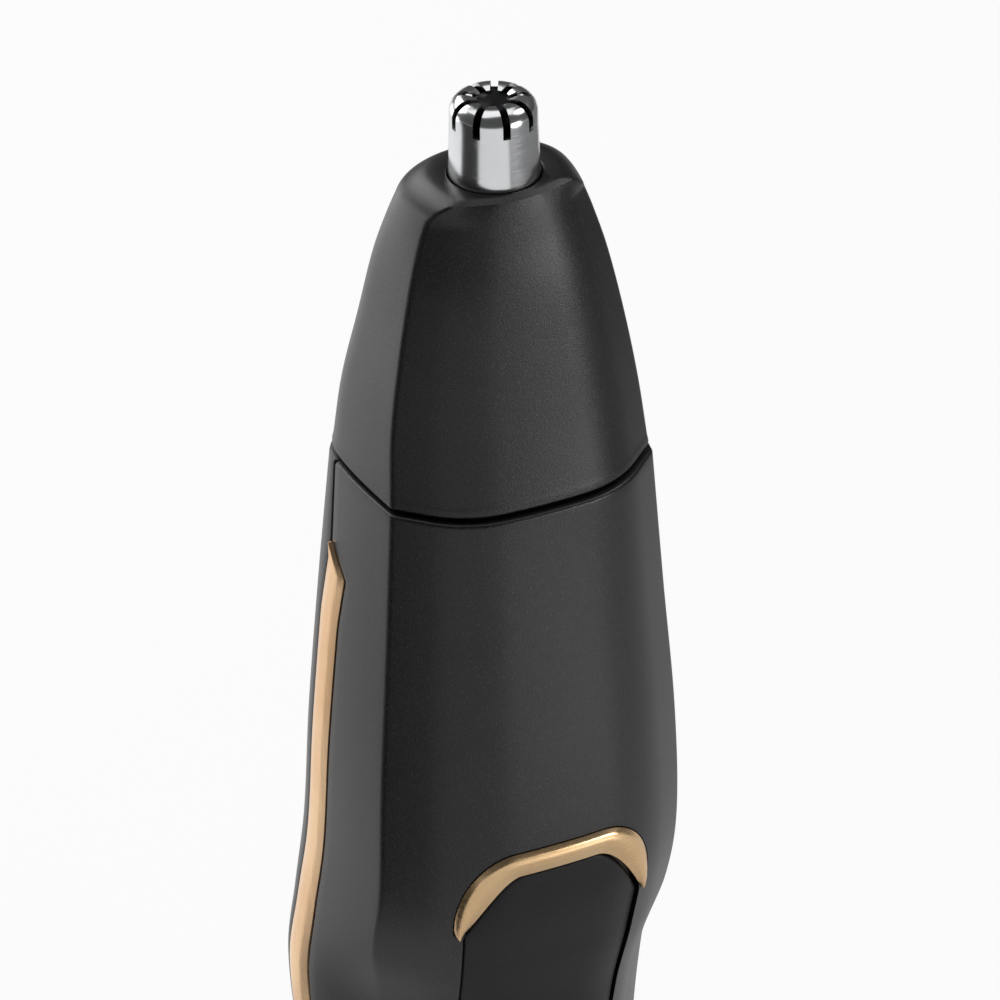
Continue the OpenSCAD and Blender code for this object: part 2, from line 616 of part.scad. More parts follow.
// A cup on a hub: its wall is cut down to blades that sweep the slots from inside
module inner_cutter() {
    bend = cap_bend - cap_t;
    gap_w = 2 * PI * cutter_r / blade_count * (1 - blade_share);
    color(steel) at_z(joint_z) difference() {
        cap_revolve(cutter_r, cutter_top, bend, cutter_top - cutter_l);
        difference() {
            cap_revolve(cutter_r - cutter_wall, cutter_top - hub_skin, bend, cutter_top - cutter_l + 1.2);
            cylinder(cap_h, r = spindle_r + hub_wall);
        }
        for (i = [0 : blade_count - 1]) rotate(i * 360 / blade_count + 20)
            slab([spindle_r + hub_wall, cutter_r + 1], [-gap_w / 2, gap_w / 2],
                [cutter_top - blade_l, cap_h]);
        cylinder(cutter_top - hub_skin, r = spindle_r);
    }
}

// ---- Head: base, bushes, spindle and coupling ----
socket_r = spigot_r + socket_gap;
skirt_wall = 1.2;
plate_h = spigot_h + 0.3;
plate_t = 2;
flange_h = 1.4;
flange_t = 1.2;
lower_bush_r = 2.6;
lower_bush_h = plate_h + plate_t;
bush_flange = 1;
washer_t = 0.4;
latch_w = 4;
latch_t = 0.35;
latch_swell = 0.25;
latch_room = latch_t + latch_swell + 0.1;
module stadium(r, h) {
    both_x(spigot_x) cylinder(h, r = r);
    slab([-spigot_x, spigot_x], [-r, r], [0, h]);
}
module head_base() {
    latch_end = spigot_x + socket_r + latch_room;
    latch_half = latch_w / 2 + slot_gap;
    color(inner_black) difference() {
        union() {
            head_fill(flange_h, flange_h + flange_t, seat_gap);
            at_z(joint_z + flange_h) stadium(socket_r + skirt_wall, plate_h - flange_h + 0.5);
            head_fill(plate_h, plate_h + plate_t, seat_gap);
        }
        at_z(joint_z) stadium(socket_r, plate_h);
        at_z(joint_z) slab([-latch_end, latch_end], [-latch_half, latch_half], [0, plate_h]);
        at_z(joint_z) cylinder(plate_h + plate_t + 1, r = lower_bush_r);
    }
}
module lower_bush() {
    color(brass) at_z(joint_z) {
        at_z(plate_h) tube(lower_bush_r, spindle_r + running_gap, plate_t);
        at_z(lower_bush_h) tube(lower_bush_r + 0.8, spindle_r + running_gap, bush_flange);
    }
}
module thrust_washer() {
    color(steel) at_z(joint_z + lower_bush_h + bush_flange)
        tube(lower_bush_r, spindle_r + 0.15, washer_t);
}
spring_foot = lower_bush_h + bush_flange + washer_t + 0.05;
spring_l = 7;
collar_foot = spring_foot + spring_l;
collar_t = 1.2;
coupling_foot = 2.8;
coupling_t = 2.8;
coupling_r = crank_throw + 1.6;
spindle_foot = coupling_foot + coupling_t / 2;
module cutter_spindle() {
    color(steel) at_z(joint_z) {
        at_z(spindle_foot) cylinder(cutter_top - hub_skin - spindle_foot, r = spindle_r);
        at_z(collar_foot) cylinder(collar_t, r = spindle_r + 1.1);
    }
}
// One ring of the spring's wire at angle a of the coil
function coil_ring(a) = let (w = spring_wire / 2, r = spindle_r + 0.25 + w,
        lead = (spring_l - spring_wire) / (360 * spring_turns))
    [for (b = [300 : -60 : 0]) let (d = r + w * cos(b)) [d * cos(a), d * sin(a), w * sin(b) + a * lead]];
module cutter_spring() {
    color(steel) at_z(joint_z + spring_foot + spring_wire / 2)
        loft([for (a = [0 : 24 : 360 * spring_turns]) coil_ring(a)]);
}
module crank_coupling() {
    slot_half = crank_pin_r + cutter_gap;
    color(inner_black) at_z(joint_z + coupling_foot) difference() {
        cylinder(coupling_t, r = coupling_r);
        slab([crank_throw - crank_pin_r - slot_gap, coupling_r + 1], [-slot_half, slot_half],
            [-1, coupling_t - 0.7]);
        at_z(spindle_foot - coupling_foot) cylinder(coupling_t, r = spindle_r);
    }
}

// ---- Neck: plate, seal, latch springs and screws ----
cam_r = crank_throw + crank_pin_r + 0.4;
neck_hole_r = cam_r + 0.7;
screw_y = 2.5;
screw_r = 0.95;
screw_hole_r = 1.05;
screw_head_r = 1.5;
screw_head_gap = 0.15;
screw_head_t = 0.9;
screw_slot = 0.4;
screw_bite = 4;
head_sunk = 0.2;
seal_wire = 0.55;
module neck_screw_places() {
    both_x(neck_screw_x) translate([0, screw_y, joint_z]) children();
}
// A screw whose head's face lies at 0 and whose shank runs down
module screw(l) {
    difference() {
        union() {
            at_z(-screw_head_t) cylinder(screw_head_t, r = screw_head_r);
            at_z(-l) cylinder(l, r = screw_r);
        }
        for (a = [0, 90]) rotate(a)
            slab([-1, 1], [-screw_slot / 2, screw_slot / 2], [-0.5, 1]);
    }
}
module screw_hole(t) {
    at_z(-t - 1) cylinder(t + 2, r = screw_hole_r);
    at_z(-screw_head_t - head_sunk) cylinder(screw_head_t + 1, r = screw_head_r + screw_head_gap);
}
module neck_plate() {
    color(inner_black) difference() {
        union() {
            handle_fill(joint_z - neck_t, joint_z, seat_gap);
            at_z(joint_z - eps) difference() {
                stadium(spigot_r, spigot_h + eps);
                at_z(-1) stadium(spigot_r - spigot_wall, spigot_h + 2);
            }
        }
        at_z(joint_z - neck_t - 1) cylinder(neck_t + 2, r = neck_hole_r);
        neck_screw_places() screw_hole(neck_t);
    }
}
module neck_seal() {
    r = spigot_r + seal_wire + seat_gap;
    color(rubber_black) at_z(joint_z + seal_wire + seat_gap) {
        for (side = [0, 180]) rotate(side) translate([spigot_x, 0, 0]) rotate(-90)
            rotate_extrude(angle = 180) translate([r, 0]) circle(seal_wire, $fn = 16);
        for (side = [-1, 1]) translate([-spigot_x, side * r, 0]) rotate([0, 90, 0])
            cylinder(2 * spigot_x, r = seal_wire, $fn = 16);
    }
}
// Leaf springs on the spigot's ends, with a crest that grips the head base
module latch_springs() {
    x = spigot_x + spigot_r;
    low = joint_z + 2 * seal_wire + slot_gap;
    high = joint_z + spigot_h - head_sunk;
    color(steel) for (side = [0, 180]) rotate(side)
        translate([0, latch_w / 2, 0]) rotate([90, 0, 0]) linear_extrude(latch_w)
            polygon([[x, low], [x + latch_t, low], [x + latch_t + latch_swell, mix(low, high, 0.55)],
                [x + latch_t, high], [x, high]]);
}
module neck_screws() {
    color(steel) neck_screw_places() at_z(-head_sunk) screw(neck_t + screw_bite);
}

// ---- Motor and crank ----
can_t = 1;
bell_lip = 1.5;
boss_r = 3;
boss_h = 1.5;
shaft_r = 1;
armature_r = 5.2;
armature_gap = 0.4;
bearing_gap = 0.05;
inner_r = motor_r - can_t - seat_gap;
inner_flat = motor_flat - can_t - seat_gap;
module motor_shape(r, flat, h) {
    intersection() {
        cylinder(h, r = r);
        slab([-r, r], [-flat, flat], [0, h]);
    }
}
module motor_can() {
    color(steel) difference() {
        union() {
            at_z(motor_foot) motor_shape(motor_r, motor_flat, motor_l);
            at_z(motor_top) cylinder(boss_h, r = boss_r);
        }
        at_z(motor_foot - 1) motor_shape(motor_r - can_t, motor_flat - can_t, motor_l);
        at_z(motor_foot) cylinder(motor_l + boss_h + 1, r = shaft_r + bearing_gap);
    }
}
// Ends of the magnets and of the armature's core inside the can
magnet_foot = 4;
magnet_drop = 5;
core_foot = 5;
core_drop = 6;
core_root = 2.4;
core_slot = 1;
// Lip of each magnet beside the flats
pole_lip = 1.2;
module motor_magnets() {
    bore_r = armature_r + armature_gap;
    color(inner_black) at_z(motor_foot + magnet_foot) difference() {
        motor_shape(inner_r, inner_flat, motor_l - magnet_foot - magnet_drop);
        at_z(-1) cylinder(motor_l, r = bore_r);
        slab([-bore_r + pole_lip, bore_r - pole_lip], [-motor_flat, motor_flat], [-1, motor_l]);
    }
}
module motor_cap() {
    color(inner_black) at_z(motor_foot - bell_t) difference() {
        union() {
            motor_shape(motor_r - 0.6, motor_flat - 0.6, bell_t);
            at_z(bell_t) motor_shape(inner_r, inner_flat, bell_lip);
        }
        at_z(0.8) cylinder(bell_t + bell_lip, r = shaft_r + bearing_gap);
    }
}
terminal_x = 6;
terminal_y = -5.1;
terminal_l = 1.6;
module motor_terminals() {
    root = motor_foot - bell_t;
    color(brass) both_x(terminal_x)
        slab([-0.9, 0.9], [terminal_y - 0.4, terminal_y], [root - terminal_l, root]);
}
module armature() {
    color(steel) at_z(motor_foot + core_foot) difference() {
        cylinder(motor_l - core_foot - core_drop, r = armature_r);
        for (a = [0, 120, 240]) rotate(a)
            slab([core_root, armature_r + 1], [-core_slot / 2, core_slot / 2], [-1, motor_l]);
        at_z(-1) cylinder(motor_l, r = shaft_r);
    }
}
commutator_r = 2.2;
commutator_l = 2.6;
commutator_z = motor_foot + bell_lip + 0.2;
module commutator() {
    color(brass) at_z(commutator_z) difference() {
        cylinder(commutator_l, r = commutator_r);
        at_z(-1) cylinder(commutator_l + 2, r = shaft_r);
        for (a = [60, 180, 300]) rotate(a)
            slab([shaft_r + 0.5, commutator_r + 1], [-0.15, 0.15], [-1, commutator_l + 1]);
    }
}
// Leaves that stand on the motor's end cap and lie on the commutator with a running gap
module motor_brushes() {
    x = commutator_r + running_gap;
    color(brass) for (side = [0, 180]) rotate(side)
        slab([x, x + 0.3], [-1.2, 1.2], [motor_foot + bell_lip, commutator_z + commutator_l - 0.3]);
}
cam_foot = joint_z - neck_t;
cam_t = 2.2;
cam_bore = 1.4;
pin_top = coupling_foot + coupling_t - 1;
module motor_shaft() {
    foot = motor_foot - bell_t + 1;
    color(steel) at_z(foot) cylinder(cam_foot + cam_bore - foot, r = shaft_r);
}
module drive_cam() {
    color(steel) at_z(cam_foot) difference() {
        union() {
            cylinder(cam_t, r = cam_r);
            translate([crank_throw, 0, 0]) cylinder(neck_t + pin_top, r = crank_pin_r);
        }
        at_z(-1) cylinder(cam_bore + 1, r = shaft_r);
    }
}

// ---- Frame, battery and board ----
rail_x = cell_r + 0.3;
rail_t = 1.8;
rail_depth = 10;
frame_wall = 1.6;
frame_gap = 0.1;
shelf_z = cell_z - 2.1;
shelf_t = 1.5;
deck_t = 1.5;
board_front = -board_t - 0.5;
cell_top = cell_z + cell_l;
cell_pip = 1.2;
tab_t = 0.25;
module chassis() {
    rear = motor_flat + frame_gap + frame_wall;
    cradle_z = motor_foot - bell_t - 1.2;
    board_back = board_front + board_t;
    post_foot = motor_top + deck_t - eps;
    post_l = joint_z - neck_t - seat_gap - post_foot;
    socket_post = base_h + 0.4;
    color(inner_black) difference() {
        union() {
            // Rails beside the battery, with the shelf that it stands on
            both_x(rail_x + rail_t / 2) slab([-rail_t / 2, rail_t / 2], [board_back, rail_depth],
                [base_h + 3, motor_foot - bell_t - 0.2]);
            slab([-rail_x - rail_t, rail_x + rail_t], [board_back, rail_depth], [shelf_z, shelf_z + shelf_t]);
            // Cradle round the motor
            both_x(motor_r + frame_gap + frame_wall / 2)
                slab([-frame_wall / 2, frame_wall / 2], [-2, rear], [cradle_z, post_foot]);
            slab([-motor_r - frame_wall, motor_r + frame_wall], [rear - frame_wall, rear],
                [cradle_z, post_foot]);
            handle_fill(motor_top + seat_gap, motor_top + deck_t, slot_gap);
            neck_screw_places() at_z(post_foot - joint_z) cylinder(post_l, r = 1.8);
            base_screw_places() at_z(socket_post) cylinder(shelf_z - socket_post + eps, r = 2);
        }
        at_z(motor_top - 1) cylinder(deck_t + 2, r = boss_r + frame_gap);
        neck_screw_places() at_z(-neck_t - screw_bite - head_sunk) cylinder(screw_bite + 1, r = screw_r);
        base_screw_places() cylinder(base_screw_l + 1, r = screw_r);
    }
}
module battery_cell() {
    color("#3f6fa8") translate([0, cell_y, cell_z]) {
        cylinder(cell_l - cell_pip, r = cell_r);
        at_z(cell_l - cell_pip) cylinder(cell_pip, r = 2.6);
    }
}
module battery_tabs() {
    front = cell_y - cell_r - 0.6;
    color(steel) for (z = [cell_z - tab_t, cell_top])
        slab([-2, 2], [front, cell_y + 2], [z, z + tab_t]);
}
board_low = 12;
board_drop = 8;
board_high = motor_foot - board_drop;
module on_board(x, t, z0, z1) {
    slab([-x, x], [board_front - t, board_front], [z0, z1]);
}
module circuit_board() {
    color(board_green) slab([-board_half, board_half], [board_front, board_front + board_t],
        [board_low, board_high]);
}
// Contact tray under the switch's carriage
tray_over = 3.5;
module board_switch() {
    z0 = switch_z - tray_over;
    z1 = switch_z + switch_travel + tray_over;
    color(steel) difference() {
        on_board(4, 0.25, z0, z1);
        at_z(0) slab([-3, 3], [board_front - 1, board_front - 0.1], [z0 + 1, z1 - 1]);
    }
}
module control_chip() {
    color(inner_black) on_board(3, 1.4, 46, 52);
}
led_t = 0.8;
module status_led() {
    color("white") on_board(1, led_t, light_z - 0.8, light_z + 0.8);
}
module status_light() {
    sunk = 0.1;
    color("#d9e6dc") translate([0, -light_y + sunk, light_z]) rotate([-90, 0, 0])
        cylinder(light_y - sunk + board_front - led_t - 0.2, r = light_r);
}
module motor_leads() {
    lead_r = 0.5;
    lead_y = board_front - lead_r - 0.1;
    lead_foot = board_high - 3;
    lead_top = motor_foot - bell_t - terminal_l - lead_r;
    for (side = [-1, 1]) color(side < 0 ? "#a02020" : "#202020") translate([side * terminal_x, lead_y, 0]) {
        at_z(lead_foot) cylinder(lead_top - lead_foot + lead_r, r = lead_r);
        at_z(lead_top) rotate([90, 0, 0]) cylinder(lead_y - terminal_y + 0.4, r = lead_r * 0.9);
    }
}

// ---- Base ----
base_edge = 1.2;
base_floor = 2.4;
inlet_sunk = 0.6;
inlet_wall = 2.2;
base_screw_l = base_h + 6;
module charge_socket() {
    color(inner_black) translate([0, inlet_y, inlet_sunk]) difference() {
        cylinder(inlet_l + 1.5, r = inlet_r + inlet_wall);
        at_z(-1) cylinder(inlet_l + 1, r = inlet_r);
    }
}
module base_screw_places() {
    both_x(base_screw_x) translate([0, inlet_y, 0]) children();
}
module base_cap() {
    color(soft_black) difference() {
        loft([for (q = [[0, base_edge], [0.35, 0.5], [base_edge, 0], [base_h - seat_gap, 0]])
            whole_ring(inset(handle_at(q[0]), q[1]), q[0])]);
        loft([for (z = [base_floor, base_h + 1]) inner_ring(inset(handle_at(z), shell_wall), z)]);
        translate([0, inlet_y, -1]) cylinder(base_h, r = inlet_r + inlet_wall + seat_gap);
        base_screw_places() mirror([0, 0, 1]) screw_hole(base_floor);
    }
}
module base_screws() {
    color(steel) base_screw_places() mirror([0, 0, 1]) at_z(-head_sunk) screw(base_screw_l);
}

head_shell();
cutter_cap();
cap_retainer();
upper_bush();
head_base();
lower_bush();
thrust_washer();
inner_cutter();
cutter_spindle();
cutter_spring();
crank_coupling();
front_shell();
rear_shell();
left_trim();
right_trim();
bow_trim();
thumb_panel();
slide_switch();
switch_carriage();
neck_plate();
neck_seal();
latch_springs();
neck_screws();
chassis();
motor_can();
motor_magnets();
motor_cap();
motor_brushes();
motor_terminals();
armature();
commutator();
motor_shaft();
drive_cam();
battery_cell();
battery_tabs();
circuit_board();
board_switch();
control_chip();
status_led();
status_light();
motor_leads();
charge_socket();
base_cap();
base_screws();
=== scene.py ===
# %% [markdown]
# # A nose hair trimmer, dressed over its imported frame
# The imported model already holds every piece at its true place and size. This lesson gives those
# pieces the look of the real ones: faceted black shells with a soft-touch coat, copper-gold trims,
# a pale gold bow and a slotted steel cutter cap. Lengths are written in millimetres, as on a
# drawing, and turned to metres once, where a mesh is made.

# %% Load the frame
from math import atan2, cos, pi, radians, sin, sqrt

import bmesh
import bpy
import numpy as np
from mathutils import Matrix, Vector
from mathutils.bvhtree import BVHTree


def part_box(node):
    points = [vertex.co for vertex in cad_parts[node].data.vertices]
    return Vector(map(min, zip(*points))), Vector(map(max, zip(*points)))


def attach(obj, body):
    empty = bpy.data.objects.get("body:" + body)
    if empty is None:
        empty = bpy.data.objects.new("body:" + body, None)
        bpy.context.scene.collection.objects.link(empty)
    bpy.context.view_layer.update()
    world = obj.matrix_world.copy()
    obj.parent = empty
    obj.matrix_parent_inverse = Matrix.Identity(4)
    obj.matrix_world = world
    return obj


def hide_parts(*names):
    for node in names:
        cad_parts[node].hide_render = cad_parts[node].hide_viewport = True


MM = 0.001
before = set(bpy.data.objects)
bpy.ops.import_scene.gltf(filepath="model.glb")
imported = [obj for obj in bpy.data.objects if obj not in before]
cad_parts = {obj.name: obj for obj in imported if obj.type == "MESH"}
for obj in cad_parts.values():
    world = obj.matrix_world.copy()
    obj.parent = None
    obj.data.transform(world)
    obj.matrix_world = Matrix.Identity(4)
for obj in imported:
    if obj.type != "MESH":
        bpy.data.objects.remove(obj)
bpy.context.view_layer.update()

# %% [markdown]
# ## The camera
# The photograph looks down on the trimmer from its left front. The camera is aimed at a point just
# under the parting line, so that no shift is needed. Its distance sets how much the handle tapers
# in perspective, and the long lens then fills the frame.

# %% Camera
SENSOR = 36.0
FOCAL_LENGTH = 162.47
CAMERA_AIM = Vector((-1.065, -2.231, 114.208)) * MM
CAMERA_DISTANCE = 450 * MM
CAMERA_AZIMUTH = radians(-23.487)
CAMERA_ELEVATION = radians(33.376)
CAMERA_ROLL = radians(-1.107)


def camera_axes():
    back = Vector((sin(CAMERA_AZIMUTH) * cos(CAMERA_ELEVATION),
                   -cos(CAMERA_AZIMUTH) * cos(CAMERA_ELEVATION), sin(CAMERA_ELEVATION)))
    level = Vector((cos(CAMERA_AZIMUTH), sin(CAMERA_AZIMUTH), 0))
    upright = back.cross(level)
    right = cos(CAMERA_ROLL) * level + sin(CAMERA_ROLL) * upright
    return right, back.cross(right), back


def add_camera():
    data = bpy.data.cameras.new("photo_camera")
    data.lens, data.sensor_width, data.sensor_fit = FOCAL_LENGTH, SENSOR, "AUTO"
    data.clip_start, data.clip_end = 0.01, 20
    obj = bpy.data.objects.new("photo_camera", data)
    bpy.context.scene.collection.objects.link(obj)
    right, up, back = camera_axes()
    turn = Matrix((right, up, back)).transposed().to_4x4()
    obj.matrix_world = Matrix.Translation(CAMERA_AIM + CAMERA_DISTANCE * back) @ turn
    bpy.context.scene.camera = obj
    return obj


camera = add_camera()
print("camera at", [round(c / MM, 1) for c in camera.matrix_world.translation], "mm")

# %% [markdown]
# ## Sections of the body
# Handle and head are each one smooth body, drawn as a few sections at given heights, as a modeller
# would loft them. A section is four numbers: half width, half width at the front corner, front
# depth and rear depth. Between the stations a Hermite curve carries the numbers on without a kink.
# The values repeat the ones in the construction, so that a smooth skin lies on the solid.

# %% Stations of handle and head
JOINT = 118.0
HANDLE = [(0, (14.8, 11, 8.4, 14.6)), (20, (17.4, 12.9, 7, 17.2)), (38, (19.6, 14.1, 6.8, 19.2)),
          (52, (20.6, 15.3, 8.7, 19.4)), (62, (20, 17, 11.2, 18.5)), (72, (19.2, 17, 13.4, 17.7)),
          (86, (18.4, 16.5, 13.5, 16.8)), (102, (17, 15.3, 12.6, 15.7)),
          (118, (15.4, 14.2, 11.6, 14.6))]
HEAD_FOOT, COLLAR, CREASE = 0.4, 27.5, 30.0
HEAD = [(HEAD_FOOT, (15, 14, 11, 14.8)), (8, (13.9, 13.3, 9.6, 13.8)),
        (16, (12.3, 12, 8.4, 12)), (23, (11, 10.5, 7.4, 10.2)), (COLLAR, (9.8, 9.2, 6.5, 8.7)),
        (CREASE, (8.9, 8.3, 6.05, 8))]


def mix(a, b, t):
    return a + (b - a) * t


def clamp(t):
    return min(max(t, 0.0), 1.0)


def steps(a, b, count):
    """count + 1 values from a to b."""
    return [mix(a, b, i / count) for i in range(count + 1)]


def round_angles(count):
    """count angles that go once round."""
    return steps(0, 2 * pi, count)[:-1]


def section_at(rows, z):
    """Hermite curve through the rows of (height, section)."""
    slopes = []
    for i in range(len(rows)):
        low, high = max(i - 1, 0), min(i + 1, len(rows) - 1)
        slopes.append((np.array(rows[high][1]) - rows[low][1]) / (rows[high][0] - rows[low][0]))
    i = 0
    while i + 2 < len(rows) and z > rows[i + 1][0]:
        i += 1
    h = rows[i + 1][0] - rows[i][0]
    t = clamp((z - rows[i][0]) / h)
    return ((2 * t**3 - 3 * t**2 + 1) * np.array(rows[i][1]) + (t**3 - 2 * t**2 + t) * h * slopes[i]
            + (3 * t**2 - 2 * t**3) * np.array(rows[i + 1][1]) + (t**3 - t**2) * h * slopes[i + 1])


def handle_at(z):
    return section_at(HANDLE, z)


def head_at(h):
    return section_at(HEAD, h)


print("waist:", [round(float(v), 2) for v in handle_at(55)])

# %% [markdown]
# ## The outline of a section
# Seen from above, the body has a crowned front facet, two chamfers and a round back. The front
# facet turns softly into the chamfers, while the chamfers meet the sides in a crisp edge. Each
# rounding is a short Bezier curve, fine enough here to look smooth. Outlines are drawn with the
# front positive and turned to -Y when they are lifted to their height.

# %% Outline functions
FRONT_CROWN, SOFT_ROUND, CRISP_ROUND = 0.6, 3.8, 0.5
CRISP_DROP = 0.9 * CRISP_ROUND
FLAT_SHARE, CORNER_DROP, SIDE_LEAN, SIDE_FROM = 0.6, 0.385, 0.46, 6.5
BACK_SHARE = 2 / 2.3
CORNER_INSET = 0.8
PARTING_HALF = 15.4


def inset(s, t):
    return np.array((s[0] - t, s[1] - CORNER_INSET * t, s[2] - t, s[3] - t))


def side_y(s):
    return (s[2] - s[3]) / 2 - SIDE_LEAN * (s[0] - SIDE_FROM)


def corner_y(s):
    """A section may carry a drop of its own as its fifth number."""
    return s[2] - (s[4] if len(s) > 4 else CORNER_DROP) * s[0]


def side_x(s, y):
    t = clamp((corner_y(s) - y) / (corner_y(s) - side_y(s)))
    return mix(s[1], s[0], sin(t * pi / 2))


def soft_radius(s):
    return SOFT_ROUND * s[0] / PARTING_HALF


def towards(p, q, r):
    p, q = np.array(p, float), np.array(q, float)
    return p + r * (q - p) / np.linalg.norm(q - p)


def bend(u, p, v, count):
    """Quadratic Bezier curve from u by way of p to v."""
    u, p, v = (np.array(q, float) for q in (u, p, v))
    return [(1 - t)**2 * u + 2 * t * (1 - t) * p + t**2 * v for t in steps(0, 1, count)]


def front_arc(s):
    edge, corner = (FLAT_SHARE * s[1], s[2] - FRONT_CROWN), (s[1], corner_y(s))
    r = soft_radius(s)
    crown = [(x, s[2] - FRONT_CROWN * (x / edge[0])**2) for x in steps(0, edge[0] - r, 4)]
    return (crown[:-1] + bend(crown[-1], edge, towards(edge, corner, r), 8)
            + bend(towards(corner, edge, CRISP_ROUND), corner,
                   (side_x(s, corner[1] - CRISP_DROP), corner[1] - CRISP_DROP), 5))


def side_arc(s, y_end, count):
    return [(side_x(s, y), y) for y in steps(corner_y(s) - CRISP_DROP, y_end, count)[1:]]


def round_back(s, first, count):
    """The rounded back, from an angle behind the widest line to the middle."""
    depth = side_y(s) + s[3]
    return [(s[0] * max(cos(a), 0)**BACK_SHARE, side_y(s) - depth * sin(a)**BACK_SHARE)
            for a in steps(first, pi / 2, count)]


def rear_arc(s, y_start, count):
    behind = clamp((side_y(s) - y_start) / (side_y(s) + s[3]))
    return round_back(s, np.arcsin(behind**(1 / BACK_SHARE)), count)


def whole(s):
    return front_arc(s) + side_arc(s, side_y(s), 9) + rear_arc(s, side_y(s), 22)[1:]


def both_sides(half):
    return list(half) + [(-x, y) for x, y in half[-2:0:-1]]


def lift(outline, z):
    return [(x, -y, z) for x, y in outline]


def ring(s, z):
    return lift(both_sides(whole(s)), z)


print("points in a whole section:", len(ring(handle_at(60), 60)))

# %% [markdown]
# ## From rings to a mesh
# A loft joins rings of equal length with quads. Doubled points are merged, edges sharper than a
# set angle stay sharp, and everything else is shaded smooth, so a matte surface shows no facets
# that the real moulding doesn't have.

# %% Mesh helpers
def link(obj):
    bpy.context.scene.collection.objects.link(obj)
    return obj


def smooth_by_angle(mesh, angle=30):
    mesh.shade_smooth()
    mesh.set_sharp_from_angle(angle=radians(angle))


def make_piece(name, points, faces, material, angle=30):
    mesh = bpy.data.meshes.new(name)
    mesh.from_pydata([[c * MM for c in p] for p in points], [], faces)
    bm = bmesh.new()
    bm.from_mesh(mesh)
    bmesh.ops.remove_doubles(bm, verts=bm.verts, dist=0.002 * MM)
    bm.to_mesh(mesh)
    bm.free()
    mesh.materials.append(material)
    smooth_by_angle(mesh, angle)
    return link(bpy.data.objects.new(name, mesh))


def loft(rings, round_trip=False):
    """Points and faces through rings that run counter-clockwise as seen from where they lead."""
    n = len(rings[0])
    spans = len(rings) if round_trip else len(rings) - 1
    points = [p for one in rings for p in one]
    faces = []
    for k in range(spans):
        low, high = k * n, (k + 1) % len(rings) * n
        faces += [(low + i, low + (i + 1) % n, high + (i + 1) % n, high + i) for i in range(n)]
    if not round_trip:
        top = (len(rings) - 1) * n
        faces += [tuple(range(n - 1, -1, -1)), tuple(top + i for i in range(n))]
    return points, faces


def carve(piece, cutters, angle=30):
    """Cuts the cutters out of a piece with exact Booleans and leaves a plain mesh."""
    for cutter in cutters:
        cut = piece.modifiers.new("cut", "BOOLEAN")
        cut.operation, cut.solver, cut.object = "DIFFERENCE", "EXACT", cutter
    result = bpy.data.meshes.new_from_object(
        piece.evaluated_get(bpy.context.evaluated_depsgraph_get()))
    piece.modifiers.clear()
    piece.data = result
    smooth_by_angle(result, angle)
    for cutter in cutters:
        bpy.data.objects.remove(cutter)
    return piece


dressed = set()


def mount(piece, body, slot, *nodes):
    dressed.update(nodes)
    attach(piece, body)
    if nodes:
        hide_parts(*nodes)
    print(f"{piece.name}: {len(piece.data.polygons)} faces on {body}")
    return piece


# %% [markdown]
# ## Shared surface effects
# Real finishes are never even. Three effects are shared by most materials and are built once, as
# shader node groups: a fine grain that sparkles in a soft-touch coat, a slow variation as from
# handling, and the parallel lines that brushing leaves on metal. Each gives out only a value that
# changes over the surface; the shader itself stays in each material.

# %% Node groups
def add_nodes(tree, *kinds):
    return [tree.nodes.new(kind) for kind in kinds]


def connect(tree, *pairs):
    for start, end in pairs:
        tree.links.new(start, end)


def new_group(name, inputs, outputs):
    group = bpy.data.node_groups.new(name, "ShaderNodeTree")
    for label, value in inputs:
        socket = group.interface.new_socket(label, in_out="INPUT", socket_type="NodeSocketFloat")
        socket.default_value = value
    for label in outputs:
        group.interface.new_socket(label, in_out="OUTPUT", socket_type="NodeSocketFloat")
    return group, *add_nodes(group, "NodeGroupInput", "NodeGroupOutput")


def noise(tree, coordinates, scale, detail, roughness=0.5):
    """A noise texture; scale is a number or a socket."""
    node = tree.nodes.new("ShaderNodeTexNoise")
    node.inputs["Detail"].default_value = detail
    node.inputs["Roughness"].default_value = roughness
    tree.links.new(coordinates, node.inputs["Vector"])
    if isinstance(scale, (int, float)):
        node.inputs["Scale"].default_value = scale
    else:
        tree.links.new(scale, node.inputs["Scale"])
    return node.outputs["Fac"]


def stretched(tree, value, low, high, out_low=0.0, out_high=1.0):
    node = tree.nodes.new("ShaderNodeMapRange")
    for label, number in (("From Min", low), ("From Max", high), ("To Min", out_low),
                          ("To Max", out_high)):
        node.inputs[label].default_value = number
    tree.links.new(value, node.inputs["Value"])
    return node.outputs["Result"]


def build_grain():
    group, source, sink = new_group("fine grain", [("Scale", 4200.0)], ["Height", "Sparkle"])
    place = group.nodes.new("ShaderNodeTexCoord").outputs["Object"]
    fine = noise(group, place, source.outputs["Scale"], 2.0)
    group.links.new(fine, sink.inputs["Height"])
    group.links.new(stretched(group, fine, 0.55, 0.72), sink.inputs["Sparkle"])
    return group


def build_handling():
    group, source, sink = new_group("handling", [("Scale", 60.0)], ["Cloud"])
    place = group.nodes.new("ShaderNodeTexCoord").outputs["Object"]
    cloud = noise(group, place, source.outputs["Scale"], 4.0, 0.6)
    group.links.new(stretched(group, cloud, 0.3, 0.7), sink.inputs["Cloud"])
    return group


